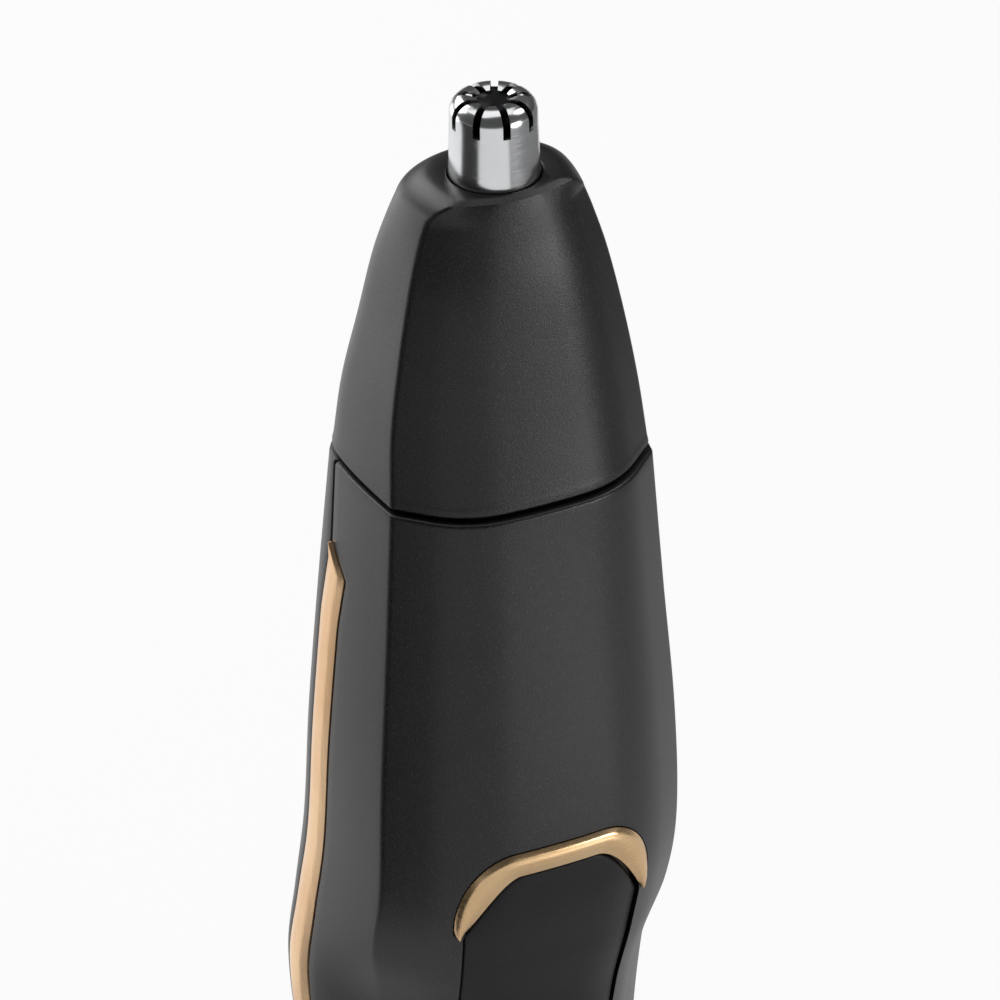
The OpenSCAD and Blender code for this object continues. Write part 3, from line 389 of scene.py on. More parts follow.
def build_brushing():
    group, source, sink = new_group("brushing", [("Across X", 9000.0), ("Across Y", 9000.0),
                                                 ("Across Z", 300.0)], ["Lines"])
    place = group.nodes.new("ShaderNodeTexCoord").outputs["Object"]
    scale = group.nodes.new("ShaderNodeCombineXYZ")
    for i in range(3):
        group.links.new(source.outputs[i], scale.inputs[i])
    spread = group.nodes.new("ShaderNodeVectorMath")
    spread.operation = "MULTIPLY"
    group.links.new(place, spread.inputs[0])
    group.links.new(scale.outputs[0], spread.inputs[1])
    group.links.new(noise(group, spread.outputs[0], 1.0, 2.0), sink.inputs["Lines"])
    return group


GRAIN, HANDLING, BRUSHING = build_grain(), build_handling(), build_brushing()
print("groups:", [g.name for g in (GRAIN, HANDLING, BRUSHING)])

# %% [markdown]
# ## Materials
# Every material has the same skeleton: a Principled BSDF whose even values are typed on its own
# sockets, with the groups feeding what varies. `finish` builds that skeleton. The base colour moves
# between two close tones, the roughness between two values, and a bump gives the surface its
# grain. The finishes of this trimmer then only differ in numbers.

# %% Material builder
def srgb(hex_code):
    levels = [int(hex_code[i:i + 2], 16) / 255 for i in (1, 3, 5)]
    return tuple(c / 12.92 if c < 0.04045 else ((c + 0.055) / 1.055)**2.4 for c in levels) + (1.0,)


def group_node(tree, group, **values):
    node = tree.nodes.new("ShaderNodeGroup")
    node.node_tree = group
    for label, value in values.items():
        node.inputs[label.replace("_", " ")].default_value = value
    return node


def finish(name, dark, light, rough=(0.45, 0.55), metallic=0.0, specular=0.5, coat=0.0,
           lines=None, grain=4200.0, sparkle=0.0, bump=0.1, depth=0.02, cloud=60.0):
    """A procedural material. lines is the brushing's scale in x, y and z, or None for grain."""
    material = bpy.data.materials.new(name)
    material.use_nodes = True
    tree = material.node_tree
    shader = tree.nodes["Principled BSDF"]
    shader.inputs["Metallic"].default_value = metallic
    shader.inputs["Specular IOR Level"].default_value = specular
    shader.inputs["Coat Weight"].default_value = coat
    handled = group_node(tree, HANDLING, Scale=cloud).outputs["Cloud"]
    if lines:
        brushed = group_node(tree, BRUSHING, Across_X=lines[0], Across_Y=lines[1],
                             Across_Z=lines[2])
        height = brushed.outputs["Lines"]
    else:
        grained = group_node(tree, GRAIN, Scale=grain)
        height = grained.outputs["Height"]
    tone = tree.nodes.new("ShaderNodeMix")
    tone.data_type = "RGBA"
    tone.inputs["A"].default_value, tone.inputs["B"].default_value = srgb(dark), srgb(light)
    amount = handled
    if sparkle:
        add = tree.nodes.new("ShaderNodeMath")
        add.operation, add.use_clamp = "MULTIPLY_ADD", True
        add.inputs[1].default_value = sparkle
        tree.links.new(grained.outputs["Sparkle"], add.inputs[0])
        tree.links.new(stretched(tree, handled, 0, 1, 0, 0.06), add.inputs[2])
        amount = add.outputs[0]
    tree.links.new(amount, tone.inputs["Factor"])
    tree.links.new(tone.outputs["Result"], shader.inputs["Base Color"])
    tree.links.new(stretched(tree, height, 0.3, 0.7, *rough), shader.inputs["Roughness"])
    relief = tree.nodes.new("ShaderNodeBump")
    relief.inputs["Strength"].default_value = bump
    relief.inputs["Distance"].default_value = depth * MM
    tree.links.new(height, relief.inputs["Height"])
    tree.links.new(relief.outputs["Normal"], shader.inputs["Normal"])
    return material


# %% Finishes of this trimmer
SOFT_BLACK = finish("soft_touch_black", "#09090a", "#4c4c4e", rough=(0.32, 0.41), grain=8000.0,
                    sparkle=0.6, bump=0.8, depth=0.03)
PANEL_BLACK = finish("panel_black", "#08080a", "#2c2c2e", rough=(0.4, 0.52), specular=0.3,
                     grain=5500.0, sparkle=0.4, bump=0.6, depth=0.03)
INNER_BLACK = finish("moulded_black", "#151619", "#202126", rough=(0.4, 0.5), specular=0.4)
STEEL = finish("drawn_steel", "#d6d7d9", "#e6e7e8", rough=(0.16, 0.24), metallic=1.0,
               lines=(500, 500, 9000), bump=0.12, depth=0.006)
MACHINED = finish("machined_steel", "#9b9da1", "#b9bbbf", rough=(0.28, 0.4), metallic=1.0,
                  lines=(400, 400, 6000), bump=0.1, depth=0.006)
# Painted shade: the blade cup's steel is made nearly black, so the cap's slots look dark inside.
PAINTED_SHADE_STEEL = finish("steel_darkened_as_painted_shade", "#191a1c", "#2a2b2e", rough=(0.3, 0.42), metallic=0.8,
                     lines=(3000, 3000, 600), bump=0.08, depth=0.005)
MAGNET = finish("ferrite", "#2b2b2d", "#3c3c3f", rough=(0.6, 0.75), bump=0.3)
BRASS = finish("bush_brass", "#a8843f", "#c9a659", rough=(0.28, 0.4), metallic=1.0,
               lines=(500, 500, 5000), bump=0.08, depth=0.005)
COPPER_GOLD = finish("copper_gold", "#e2b689", "#f2cfa6", rough=(0.26, 0.34), metallic=1.0,
                     lines=(2500, 2500, 60), bump=0.02, depth=0.004)
PALE_GOLD = finish("pale_gold", "#e0b684", "#f0d0a4", rough=(0.24, 0.34), metallic=1.0,
                   lines=(60, 2500, 2500), bump=0.03, depth=0.004)
RUBBER = finish("seal_rubber", "#0f0f10", "#1c1c1d", rough=(0.7, 0.85), specular=0.3, bump=0.3)
CELL_WRAP = finish("cell_wrap", "#274f7d", "#34659b", rough=(0.3, 0.42), bump=0.1)
BOARD_GREEN = finish("board_green", "#1d5236", "#2c7048", rough=(0.35, 0.5), coat=0.3, bump=0.2,
                     grain=1500.0)
LED_WHITE = finish("led_white", "#dcdcd6", "#f2f2ee", rough=(0.3, 0.4))
LIGHT_LENS = finish("light_lens", "#cfd8d2", "#e4ebe6", rough=(0.12, 0.2), bump=0.05)
LEAD_RED = finish("lead_red", "#7d1a1a", "#a32626", rough=(0.45, 0.6))
print("materials:", len(bpy.data.materials))

# %% [markdown]
# ## The head shell
# The head is one hollow moulding: faceted walls that taper up to a small domed top with a hole for
# the cutter cap. It could be a box with bevels, but a loft that goes up the outside, over the top,
# down the bore and back down inside keeps the facets true and is closed by itself.

# %% Head shell
EDGE_ROUND, EDGE_SHARE, SHELL_WALL, HEAD_WALL = 0.4, 0.7, 2.4, 1.8
DOME_H, DOME_ROUND, LEDGE_H, LEDGE_W = 2.4, 2.1, 0.4, 0.6
CORNER_SWEEP, DROP_FADE = 1.2, 0.55
DOME_LEAN = (np.array(HEAD[-2][1]) - HEAD[-1][1]) / (CREASE - COLLAR)
CAP_HOLE_R, BORE_FLOOR, BORE_ROUND = 4.6, 24.2, 0.25
FIRST_STEP, ROOM_LOW = 0.6, 4


def circle_like(outline, r, z):
    """A circle whose points stand in the same directions as an outline's."""
    out = []
    for x, y, _ in outline:
        a = atan2(y, x)
        out.append((r * cos(a), r * sin(a), z))
    return out


def dome_section(h):
    """The front facet runs on up to the ledge; the sides and the back round off."""
    s, u = HEAD[-1][1] - h * DOME_LEAN, h / DOME_H
    drawn = DOME_ROUND * (1 - sqrt(max(1 - u**2, 0)))
    ledge = max(0, h - DOME_H + LEDGE_H)
    front = s[2] + ledge * (DOME_LEAN[2] - LEDGE_W / LEDGE_H)
    return (s[0] - drawn, s[1] - CORNER_SWEEP * drawn, front, s[3] - drawn,
            CORNER_DROP * (1 - DROP_FADE * u))


def head_rings():
    rings = []
    for a in steps(0, pi / 2, 4):
        drop = EDGE_ROUND * (1 - sin(a))
        rings.append(ring(inset(head_at(HEAD_FOOT), drop * EDGE_SHARE),
                          HEAD_FOOT + EDGE_ROUND * (1 - cos(a))))
    rings += [ring(head_at(h), h) for h in steps(HEAD_FOOT + EDGE_ROUND + FIRST_STEP, CREASE, 52)]
    facet_top = DOME_H - LEDGE_H
    for h in steps(0, facet_top, 10)[1:] + steps(facet_top, DOME_H, 10)[1:]:
        rings.append(ring(dome_section(h), CREASE + h))
    top = CREASE + DOME_H
    outline = rings[-1]
    for a in steps(0, pi / 2, 4):
        rings.append(circle_like(outline, CAP_HOLE_R + BORE_ROUND * (1 - sin(a)),
                                 top - BORE_ROUND * (1 - cos(a))))
    rings.append(circle_like(outline, CAP_HOLE_R, BORE_FLOOR))
    for h in steps(BORE_FLOOR, ROOM_LOW, 12) + [HEAD_FOOT]:
        rings.append(ring(inset(head_at(h), HEAD_WALL), h))
    return [[(x, y, JOINT + z) for x, y, z in one] for one in rings]


head = make_piece("head_shell_skin", *loft(head_rings(), round_trip=True), SOFT_BLACK)
mount(head, "head", "soft_black", "head_shell")

# %% [markdown]
# ## The handle shells
# The handle is two C-shaped shells that meet in a shiplap, with the side trims let into the joint.
# The upper edge and the two edges at the joint are rounded, because it is the small dark groove
# between two roundings that makes a joint readable in a picture.

# %% Shell outlines
BASE_H, SEAT_GAP, LIP_DEPTH, LAP = 5.0, 0.05, 1.6, 1.0
TRIM_LOW, TRIM_TOP, TRIM_W, TRIM_TIP, TRIM_BACK = 9.0, JOINT - 8.7, 3.9, 3.1, 0.5
TRIM_LEAN, LEAN_L = 1.0, 9.0
SEAM_ROUND = 0.55


def trim_now(z):
    return TRIM_W * clamp(min(z - TRIM_LOW, TRIM_TOP - z) / TRIM_TIP)


def seam_rear(s, z):
    lean = TRIM_LEAN * clamp(1 - min(abs(z - TRIM_LOW), abs(z - TRIM_TOP)) / LEAN_L)
    return side_y(s) - TRIM_BACK + lean


def seam_front(s, z):
    return seam_rear(s, z) + trim_now(z)


def edge_inset(z):
    """The shells' upper edge is rounded on the outside."""
    rise = clamp((z - JOINT + EDGE_ROUND) / EDGE_ROUND)
    return EDGE_ROUND * EDGE_SHARE * (1 - sqrt(1 - rise**2))


def inner_front(s, y_end):
    half = corner_y(s) - y_end
    edge, corner, r = (FLAT_SHARE * s[1], s[2] - FRONT_CROWN), (s[1], corner_y(s)), soft_radius(s)
    return ([(0, s[2]), towards(edge, (0, s[2]), 0.6 * r), towards(edge, corner, 0.6 * r), corner]
            + [(side_x(s, corner_y(s) - half * t), corner_y(s) - half * t) for t in (0.5, 1)])


def front_half(z):
    s, inner = inset(handle_at(z), edge_inset(z)), inset(handle_at(z), SHELL_WALL)
    y = seam_front(s, z)
    x = side_x(s, y)
    rounding = bend((side_x(s, y + SEAM_ROUND), y + SEAM_ROUND), (x, y), (x - SEAM_ROUND, y), 3)
    return (front_arc(s) + side_arc(s, y + SEAM_ROUND, 10)[:-1] + rounding
            + [(x - LIP_DEPTH, y), (x - LIP_DEPTH, y + LAP)]
            + inner_front(inner, y + LAP)[::-1])


def rear_half(z):
    s, inner = inset(handle_at(z), edge_inset(z)), inset(handle_at(z), SHELL_WALL)
    y = seam_rear(s, z) - SEAT_GAP
    x = side_x(s, y)
    tongue = seam_front(s, z) + LAP - SEAT_GAP
    tongue_x = side_x(s, tongue) - LIP_DEPTH - SEAT_GAP
    start = y - SEAM_ROUND
    outer = rear_arc(s, start, 30)
    rounding = bend((x - SEAM_ROUND, y), (x, y), outer[0], 3)
    return (round_back(inner, radians(25), 4)[::-1]
            + [(inner[0], min(side_y(inner), tongue - 0.2)), (side_x(inner, tongue), tongue),
               (tongue_x, tongue), (x - LIP_DEPTH - SEAT_GAP, y)] + rounding + outer[1:])


def shell_heights():
    top = [JOINT - EDGE_ROUND * (1 - sin(a)) for a in steps(0, pi / 2, 4)]
    tips = [TRIM_LOW, TRIM_LOW + TRIM_TIP, TRIM_TOP - TRIM_TIP, TRIM_TOP]
    return sorted(set([round(z, 3) for z in steps(BASE_H, JOINT - EDGE_ROUND, 104) + top + tips]))


def shell_rings(half):
    return [lift(both_sides(half(z)), z) for z in shell_heights()]


print("rings in a shell:", len(shell_heights()))

# %% [markdown]
# ## Bow, pocket and panel on the front facet
# The bow is a bent bar of metal in a groove, and the thumb panel lies sunk in a pocket under it.
# Both are drawn on the front facet as x and z, and `facet_y` gives the depth of the facet there.
# The same path makes the bow and, grown by a small gap, the groove for it.

# %% Bow path and panel outline
BOW_TOP, BOW_HALF, BOW_BAR, BOW_STRAIGHT = 78.75, 11.0, 3.0, 5.0
BOW_TIP = np.array((10.3, 67.8))
BOW_PROUD, BOW_ROOT, BOW_GAP = 0.6, -1.0, 0.12
TIP_WIDTH, LEG_PULL = np.array((0.35, 0.15)), np.array((0, -1.3))
FACET_FALL, FACET_CURL, CUT_OVER = 0.18, 0.16, 2
PANEL_GAP, PANEL_SUNK, PANEL_T = 0.45, 0.4, 1.0
PANEL_FOOT, PANEL_LOW, PANEL_ROUND = 7.8, 20.5, 5.0
BOW_KNEE, BOW_INNER_TOP, ARC_SHARE = BOW_TIP[1] + 1.8, BOW_TOP - BOW_BAR, 0.9
BOW_FLAT = np.array((BOW_STRAIGHT - 0.8, BOW_INNER_TOP))
BOW_BEND = np.array((BOW_STRAIGHT + 1.8, BOW_INNER_TOP))


def facet_y(x, z):
    s = handle_at(z)
    m, r = FLAT_SHARE * s[1], soft_radius(s)
    u = max(0.0, (abs(x) - m + r) / r)
    return (s[2] - FRONT_CROWN * (x / m)**2
            - FACET_FALL * r * u**2 * (1 + FACET_CURL * u))


def bow_outer(a):
    return np.array((BOW_STRAIGHT + (BOW_HALF - BOW_STRAIGHT) * sin(a),
                     BOW_KNEE + (BOW_TOP - BOW_KNEE) * cos(a)))


def bow_inner(t):
    """Inner edge, from the bar at t = 0 to the tip at t = 1."""
    return (1 - t)**2 * BOW_FLAT + 2 * t * (1 - t) * BOW_BEND + t**2 * BOW_TIP


def bow_rows():
    """Outer and inner point at each station, from one tip over the bar to the other."""
    half = [(np.array((x, BOW_TOP)), np.array((x * BOW_FLAT[0] / BOW_STRAIGHT, BOW_INNER_TOP)))
            for x in steps(0, BOW_STRAIGHT, 3)[:-1]]
    half += [(bow_outer(a), bow_inner(ARC_SHARE * a / (pi / 2))) for a in steps(0, pi / 2, 22)]
    knee = half[-1][0]
    leg = bend(knee, knee + LEG_PULL, BOW_TIP + TIP_WIDTH, 8)[1:]
    half += [(outer, bow_inner(t)) for outer, t in zip(leg, steps(ARC_SHARE, 1, 8)[1:])]
    flip = np.array((-1, 1))
    return [(o * flip, i * flip) for o, i in half[:0:-1]] + half


def bow_point(row, share, height):
    x, z = mix(row[0], row[1], share)
    return (x, -facet_y(x, z) - height, z)


def softened(profile, reach, count=3):
    """The same profile with its inner corners rounded."""
    out = [tuple(profile[0])]
    for a, p, b in zip(profile, profile[1:], profile[2:]):
        out += [tuple(q) for q in bend(mix(np.array(p, float), a, reach), p,
                                       mix(np.array(p, float), b, reach), count)]
    return out + [tuple(profile[-1])]


def groove_rings():
    rings = []
    for outer, inner in bow_rows():
        grow = BOW_GAP * (outer - inner) / max(np.linalg.norm(outer - inner), 1e-6)
        end = np.array((0, -BOW_GAP if outer[1] < BOW_TIP[1] + 0.2 else 0))
        row = (outer + grow + end, inner - grow * 0.2 + end)
        rings.append([bow_point(row, t, h) for t, h in
                      ((1, BOW_ROOT - SEAT_GAP), (0, BOW_ROOT - SEAT_GAP), (0, CUT_OVER),
                       (1, CUT_OVER))])
    return rings


PANEL_KNEE, PANEL_HALF = BOW_TIP[1] - 1.2, BOW_TIP[0] - 0.5


def panel_x(z):
    """Half width of the panel up to its widest line: a round foot and straight sides."""
    u = (PANEL_LOW + PANEL_ROUND - z) / PANEL_ROUND
    cut = PANEL_ROUND * (1 - sqrt(max(1 - u**2, 0))) if u > 0 else 0
    return mix(PANEL_FOOT, PANEL_HALF, (z - PANEL_LOW) / (PANEL_KNEE - PANEL_LOW)) - cut


def panel_top(t, out):
    """The panel's top follows the bow's inner edge, a gap inside it less what its pocket adds."""
    d = mix(BOW_BEND - BOW_FLAT, BOW_TIP - BOW_BEND, t)
    d /= np.linalg.norm(d)
    return bow_inner(t) + (PANEL_GAP - out) * np.array((d[1], -d[0]))


def panel_edge(low_gap=0.0, top_gap=0.0):
    """The right edge from the foot to the top, as x and z."""
    foot = [PANEL_LOW + PANEL_ROUND * (1 - cos(a)) for a in steps(0, pi / 2, 12)][:-1]
    rows = [(panel_x(z) + low_gap, z - (low_gap if z == PANEL_LOW else 0))
            for z in foot + steps(PANEL_LOW + PANEL_ROUND, PANEL_KNEE, 40)]
    return rows + [tuple(panel_top(t, mix(low_gap, top_gap, min(1, 3 * (1 - t)))))
                   for t in steps(1, 0, 24)]


def pocket_rings():
    """The panel's room in the shell, with a gap all round that runs out under the bow's bar."""
    deep = PANEL_SUNK + PANEL_T + SEAT_GAP
    return [[(q * x, -facet_y(q * x, z) - CUT_OVER, z) for q in steps(-1, 1, 16)]
            + [(q * x, -facet_y(q * x, z) + deep, z) for q in steps(1, -1, 16)]
            for x, z in panel_edge(PANEL_GAP / 2, BOW_BAR / 2)]


print("bow rows:", len(bow_rows()), "panel rows:", len(panel_edge()))

# %% [markdown]
# ## Carving the front shell
# The pocket, the groove, the switch slot and the light's bore are cut out of the front shell with
# exact Booleans. Building them into the loft by hand would be tidier for an animator, but cuts keep
# the facets untouched everywhere else, which is what shows on a matte surface.

# %% Front and rear shells
SWITCH_Z, SWITCH_TRAVEL, STEM_HALF, SLOT_GAP, LIGHT_Z, LIGHT_R = 28.5, 4.0, 2.0, 0.3, 14.0, 1.1
SWITCH_FACE = facet_y(0, SWITCH_Z + SWITCH_TRAVEL / 2) - PANEL_SUNK


def slab(name, x, y, z):
    low = [(x[i], y[j], z[0]) for i, j in ((0, 0), (1, 0), (1, 1), (0, 1))]
    return make_piece(name, *loft([low, [(a, b, z[1]) for a, b, _ in low]]), INNER_BLACK)


def rod(name, r, y, centre_z, count=40):
    rings = [[(r * cos(a), depth, centre_z + r * sin(a)) for a in round_angles(count)]
             for depth in (y[1], y[0])]
    return make_piece(name, *loft(rings), INNER_BLACK)


def switch_slot():
    return slab("slot_cutter", (-STEM_HALF - SLOT_GAP, STEM_HALF + SLOT_GAP),
                (-SWITCH_FACE - 3, -SWITCH_FACE + SHELL_WALL + 1),
                (SWITCH_Z - STEM_HALF - SLOT_GAP, SWITCH_Z + STEM_HALF + SWITCH_TRAVEL + SLOT_GAP))


light_y = facet_y(0, LIGHT_Z)
front = make_piece("front_shell_skin", *loft(shell_rings(front_half)), SOFT_BLACK)
carve(front, [make_piece("groove_cutter", *loft(groove_rings()), INNER_BLACK),
              make_piece("pocket_cutter", *loft(pocket_rings()), INNER_BLACK), switch_slot(),
              rod("light_cutter", LIGHT_R + SEAT_GAP, (-light_y - 1, -light_y + 5), LIGHT_Z)])
mount(front, "handle", "soft_black", "front_shell")

rear = make_piece("rear_shell_skin", *loft(shell_rings(rear_half)), SOFT_BLACK)
mount(rear, "handle", "soft_black", "rear_shell")

# %% [markdown]
# ## Side trims
# A long bar of copper-gold metal lies in each joint. Its face has a ridge nearer its rear edge, so
# it catches the light as two bands. One loft follows the joint's height and width, and the other
# side is its mirror image, with the faces turned the right way round again.

# %% Side trims
TRIM_PROUD, TRIM_END = 0.4, 0.3
TRIM_PROFILE = softened([(1, 0), (0.72, 0.8 * TRIM_PROUD), (0.35, TRIM_PROUD), (0, 0)], 0.28, 4)


def trim_rings():
    rings, floor = [], LIP_DEPTH - SEAT_GAP
    for z in sorted(set(steps(TRIM_LOW + TRIM_END, TRIM_LOW + TRIM_TIP, 8)
                        + steps(TRIM_LOW + TRIM_TIP, TRIM_TOP - TRIM_TIP, 70)
                        + steps(TRIM_TOP - TRIM_TIP, TRIM_TOP - TRIM_END, 8))):
        s = handle_at(z)
        y0, y1 = seam_rear(s, z), seam_front(s, z) - SEAT_GAP
        over = [(side_x(s, mix(y0, y1, q)) + h, mix(y0, y1, q)) for q, h in TRIM_PROFILE]
        rings.append(lift([(side_x(s, y0) - floor, y0), (side_x(s, y1) - floor, y1)] + over, z))
    return rings


points, faces = loft(trim_rings())
right_trim = make_piece("right_trim_bar", points, faces, COPPER_GOLD)
mount(right_trim, "handle", "copper_gold", "right_trim")
left_trim = make_piece("left_trim_bar", [(-x, y, z) for x, y, z in points],
                       [face[::-1] for face in faces], COPPER_GOLD)
mount(left_trim, "handle", "copper_gold", "left_trim")

# %% [markdown]
# ## The bow
# The bow has a raised ridge that runs nearer its upper edge and dies out in two round tips. Its
# section is drawn once, as shares of its width and heights over the facet, and lofted along the
# path from the cell before.

# %% Bow
BOW_PROFILE = ([(1, BOW_ROOT), (0, BOW_ROOT)]
               + softened([(0, 0.1), (0.14, 0.8 * BOW_PROUD), (0.34, BOW_PROUD),
                           (0.62, 0.75 * BOW_PROUD), (1, -0.05)], 0.3, 3))
bow = make_piece("bow_bar", *loft([[bow_point(row, q, h) for q, h in BOW_PROFILE]
                                   for row in bow_rows()]), PALE_GOLD)
mount(bow, "handle", "pale_gold", "bow_trim")

# %% [markdown]
# ## The thumb panel
# The panel is a thin plate that follows the facet, with a rounded rim. A bevel modifier would clash
# with its dense rows, so the rim is worked out: each point drops with its distance from the
# outline.

# %% Thumb panel
RIM = 0.35
RIM_STEPS = (0, 0.03, 0.1, 0.2, RIM)


def panel_outline():
    right = panel_edge()
    return right + [(-x, z) for x, z in right[::-1]]


def rim_drop(x, z, outline):
    """How far the rounded rim lies under the panel's face at a point."""
    p = np.array((x, z))
    a = np.array(outline)
    b = np.roll(a, -1, axis=0)
    along = np.clip(((p - a) * (b - a)).sum(1) / ((b - a)**2).sum(1), 0, 1)[:, None]
    d = min(float(np.linalg.norm(a + along * (b - a) - p, axis=1).min()), RIM)
    return RIM - sqrt(RIM**2 - (RIM - d)**2)


def panel_rings():
    outline, edge, rings = panel_outline(), panel_edge(), []
    xs, zs = [x for x, _ in edge], [z for _, z in edge]
    extra = [PANEL_LOW + d for d in RIM_STEPS[1:]] + [zs[-1] - d for d in RIM_STEPS[1:]]
    for z in sorted(zs + extra):
        x = float(np.interp(z, zs, xs))
        side = [x - d for d in RIM_STEPS]
        across = [-e for e in side] + steps(-side[-1], side[-1], 16)[1:-1] + side[::-1]
        rings.append([(q, -facet_y(q, z) + PANEL_SUNK + rim_drop(q, z, outline), z)
                      for q in across]
                     + [(q, -facet_y(q, z) + PANEL_SUNK + PANEL_T, z) for q in (x, 0, -x)])
    return rings


panel = make_piece("thumb_panel_skin", *loft(panel_rings()), PANEL_BLACK)
carve(panel, [switch_slot()])
mount(panel, "handle", "panel_black", "thumb_panel")

# %% [markdown]
# ## The slide switch
# The button is a crowned pad on a stem, with a row of grip ribs. The pad is a loft. The ribs
# repeat, so a Geometry Nodes tree lays them out: a mesh line of points, one rounded rib on each,
# joined and made real. The tree has named inputs, so another switch could use other numbers.

# %% Rib row tree
BUTTON_W, BUTTON_L, BUTTON_H, BUTTON_LIFT = 9.0, 9.0, 1.5, 0.45
PAD_CORNER, PAD_EDGE, STEM_CORNER, STEM_L = 1.2, 0.6, 0.2, 2.4
BUTTON_RIBS, RIB_H, RIB_HALF, RIB_ROOT, RIB_FADE = 4, 0.5, 0.5, 0.2, 0.35


def tree_with(name, inputs):
    tree = bpy.data.node_groups.new(name, "GeometryNodeTree")
    tree.interface.new_socket("Geometry", in_out="INPUT", socket_type="NodeSocketGeometry")
    names = {}
    for label, kind, value in inputs:
        socket = tree.interface.new_socket(label, in_out="INPUT", socket_type=kind)
        if value is not None:
            socket.default_value = value
        names[label] = socket.identifier
    tree.interface.new_socket("Geometry", in_out="OUTPUT", socket_type="NodeSocketGeometry")
    return tree, names, *add_nodes(tree, "NodeGroupInput", "NodeGroupOutput")


def run_tree(obj, tree, names, values, name):
    """Sets the modifier's inputs by identifier and bakes the result to a plain mesh."""
    modifier = obj.modifiers.new(tree.name, "NODES")
    modifier.node_group = tree
    for label, value in values.items():
        modifier[names[label]] = value
    depsgraph = bpy.context.evaluated_depsgraph_get()
    mesh = bpy.data.meshes.new_from_object(obj.evaluated_get(depsgraph))
    bpy.data.objects.remove(obj)
    mesh.name = name
    smooth_by_angle(mesh)
    return link(bpy.data.objects.new(name, mesh))


def build_rib_row():
    tree, names, source, sink = tree_with("rib row", [
        ("Count", "NodeSocketInt", 4), ("Pitch", "NodeSocketFloat", 0.002),
        ("Rib", "NodeSocketObject", None), ("Finish", "NodeSocketMaterial", None)])
    offset, line, rib, copies, joined, real, coloured = add_nodes(
        tree, "ShaderNodeCombineXYZ", "GeometryNodeMeshLine", "GeometryNodeObjectInfo",
        "GeometryNodeInstanceOnPoints", "GeometryNodeJoinGeometry",
        "GeometryNodeRealizeInstances", "GeometryNodeSetMaterial")
    connect(tree, (source.outputs["Pitch"], offset.inputs["Z"]),
            (source.outputs["Count"], line.inputs["Count"]),
            (offset.outputs[0], line.inputs["Offset"]),
            (source.outputs["Rib"], rib.inputs["Object"]),
            (line.outputs[0], copies.inputs["Points"]),
            (rib.outputs["Geometry"], copies.inputs["Instance"]),
            (source.outputs["Geometry"], joined.inputs[0]),
            (copies.outputs[0], joined.inputs[0]),
            (joined.outputs[0], real.inputs[0]),
            (real.outputs[0], coloured.inputs["Geometry"]),
            (source.outputs["Finish"], coloured.inputs["Material"]),
            (coloured.outputs[0], sink.inputs[0]))
    return tree, names


RIB_ROW, RIB_NAMES = build_rib_row()
print("inputs:", list(RIB_NAMES))

# %% Switch button
def pad_ring(half_w, half_l, y, corner):
    """A rounded rectangle at depth y, round the button's middle."""
    out = []
    for quarter, (sx, sz) in enumerate(((1, 1), (-1, 1), (-1, -1), (1, -1))):
        for a in steps(0, pi / 2, 6):
            turn = a + quarter * pi / 2
            out.append((sx * (half_w - corner) + corner * cos(turn), y,
                        SWITCH_Z + sz * (half_l - corner) + corner * sin(turn)))
    return out


def switch_button():
    under = -SWITCH_FACE - BUTTON_LIFT
    face = under - BUTTON_H + RIB_H
    half_w, half_l = BUTTON_W / 2, BUTTON_L / 2
    rings = [pad_ring(STEM_HALF, STEM_HALF, under + STEM_L, STEM_CORNER),
             pad_ring(STEM_HALF, STEM_HALF, under, STEM_CORNER),
             pad_ring(half_w, half_l, under, PAD_CORNER)]
    for a in steps(0, pi / 2, 5):
        drawn = PAD_EDGE * (1 - cos(a))
        rings.append(pad_ring(half_w - drawn, half_l - drawn,
                              face + PAD_EDGE * (1 - sin(a)), PAD_CORNER - 0.8 * drawn))
    base = make_piece("button_pad", *loft(rings), PANEL_BLACK)
    pitch = BUTTON_L / (BUTTON_RIBS + 0.5)
    low = SWITCH_Z - pitch * (BUTTON_RIBS - 1) / 2
    section = [(RIB_HALF * cos(a), -RIB_H * sin(a)) for a in steps(0, pi, 8)] + [
        (-RIB_HALF, RIB_ROOT), (RIB_HALF, RIB_ROOT)]
    outer, full = half_w - 0.9, half_w - 1.3
    ends = [(-outer, RIB_FADE), (-full, 1.0), (full, 1.0), (outer, RIB_FADE)]
    rib = make_piece("one_rib", *loft([[(x, face + y * share, low + z * share)
                                        for z, y in section] for x, share in ends]), PANEL_BLACK)
    piece = run_tree(base, RIB_ROW, RIB_NAMES, {"Count": BUTTON_RIBS, "Pitch": pitch * MM,
                                               "Rib": rib, "Finish": PANEL_BLACK}, "switch_button")
    bpy.data.objects.remove(rib)
    return piece


mount(switch_button(), "switch", "soft_black", "slide_switch")

# %% [markdown]
# ## The cutter cap
# The cap is drawn steel: a slightly tapered tube, bent over to a dished crown with a round eye and
# nine slots through which hairs enter. Its wall is a revolved profile. The slots follow a rule, so
# a Geometry Nodes tree turns one slot cutter round the axis and takes the lot out of the wall. The
# Mesh Boolean has to be told to be exact: its default solver left some of the slots closed.

# %% Slot tree
CAP_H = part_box("cutter_cap")[1][2] / MM - JOINT
CAP_INNER_H, CAP_R, CAP_T, CAP_BEND, CAP_EYE_R = 40.2, 4.25, 0.4, 1.6, 1.6
CAP_DISH, CAP_INNER_DISH, CAP_FLARE = 0.28, 0.12, 0.25
SLOT_COUNT, SLOT_W, SLOT_DROP, SLOT_TURN = 9, 0.75, 1.0, -96.5
CAP_FOOT, FLANGE_T, FLANGE_R, SLOT_START = 23.4, 0.8, 5.2, 1.2


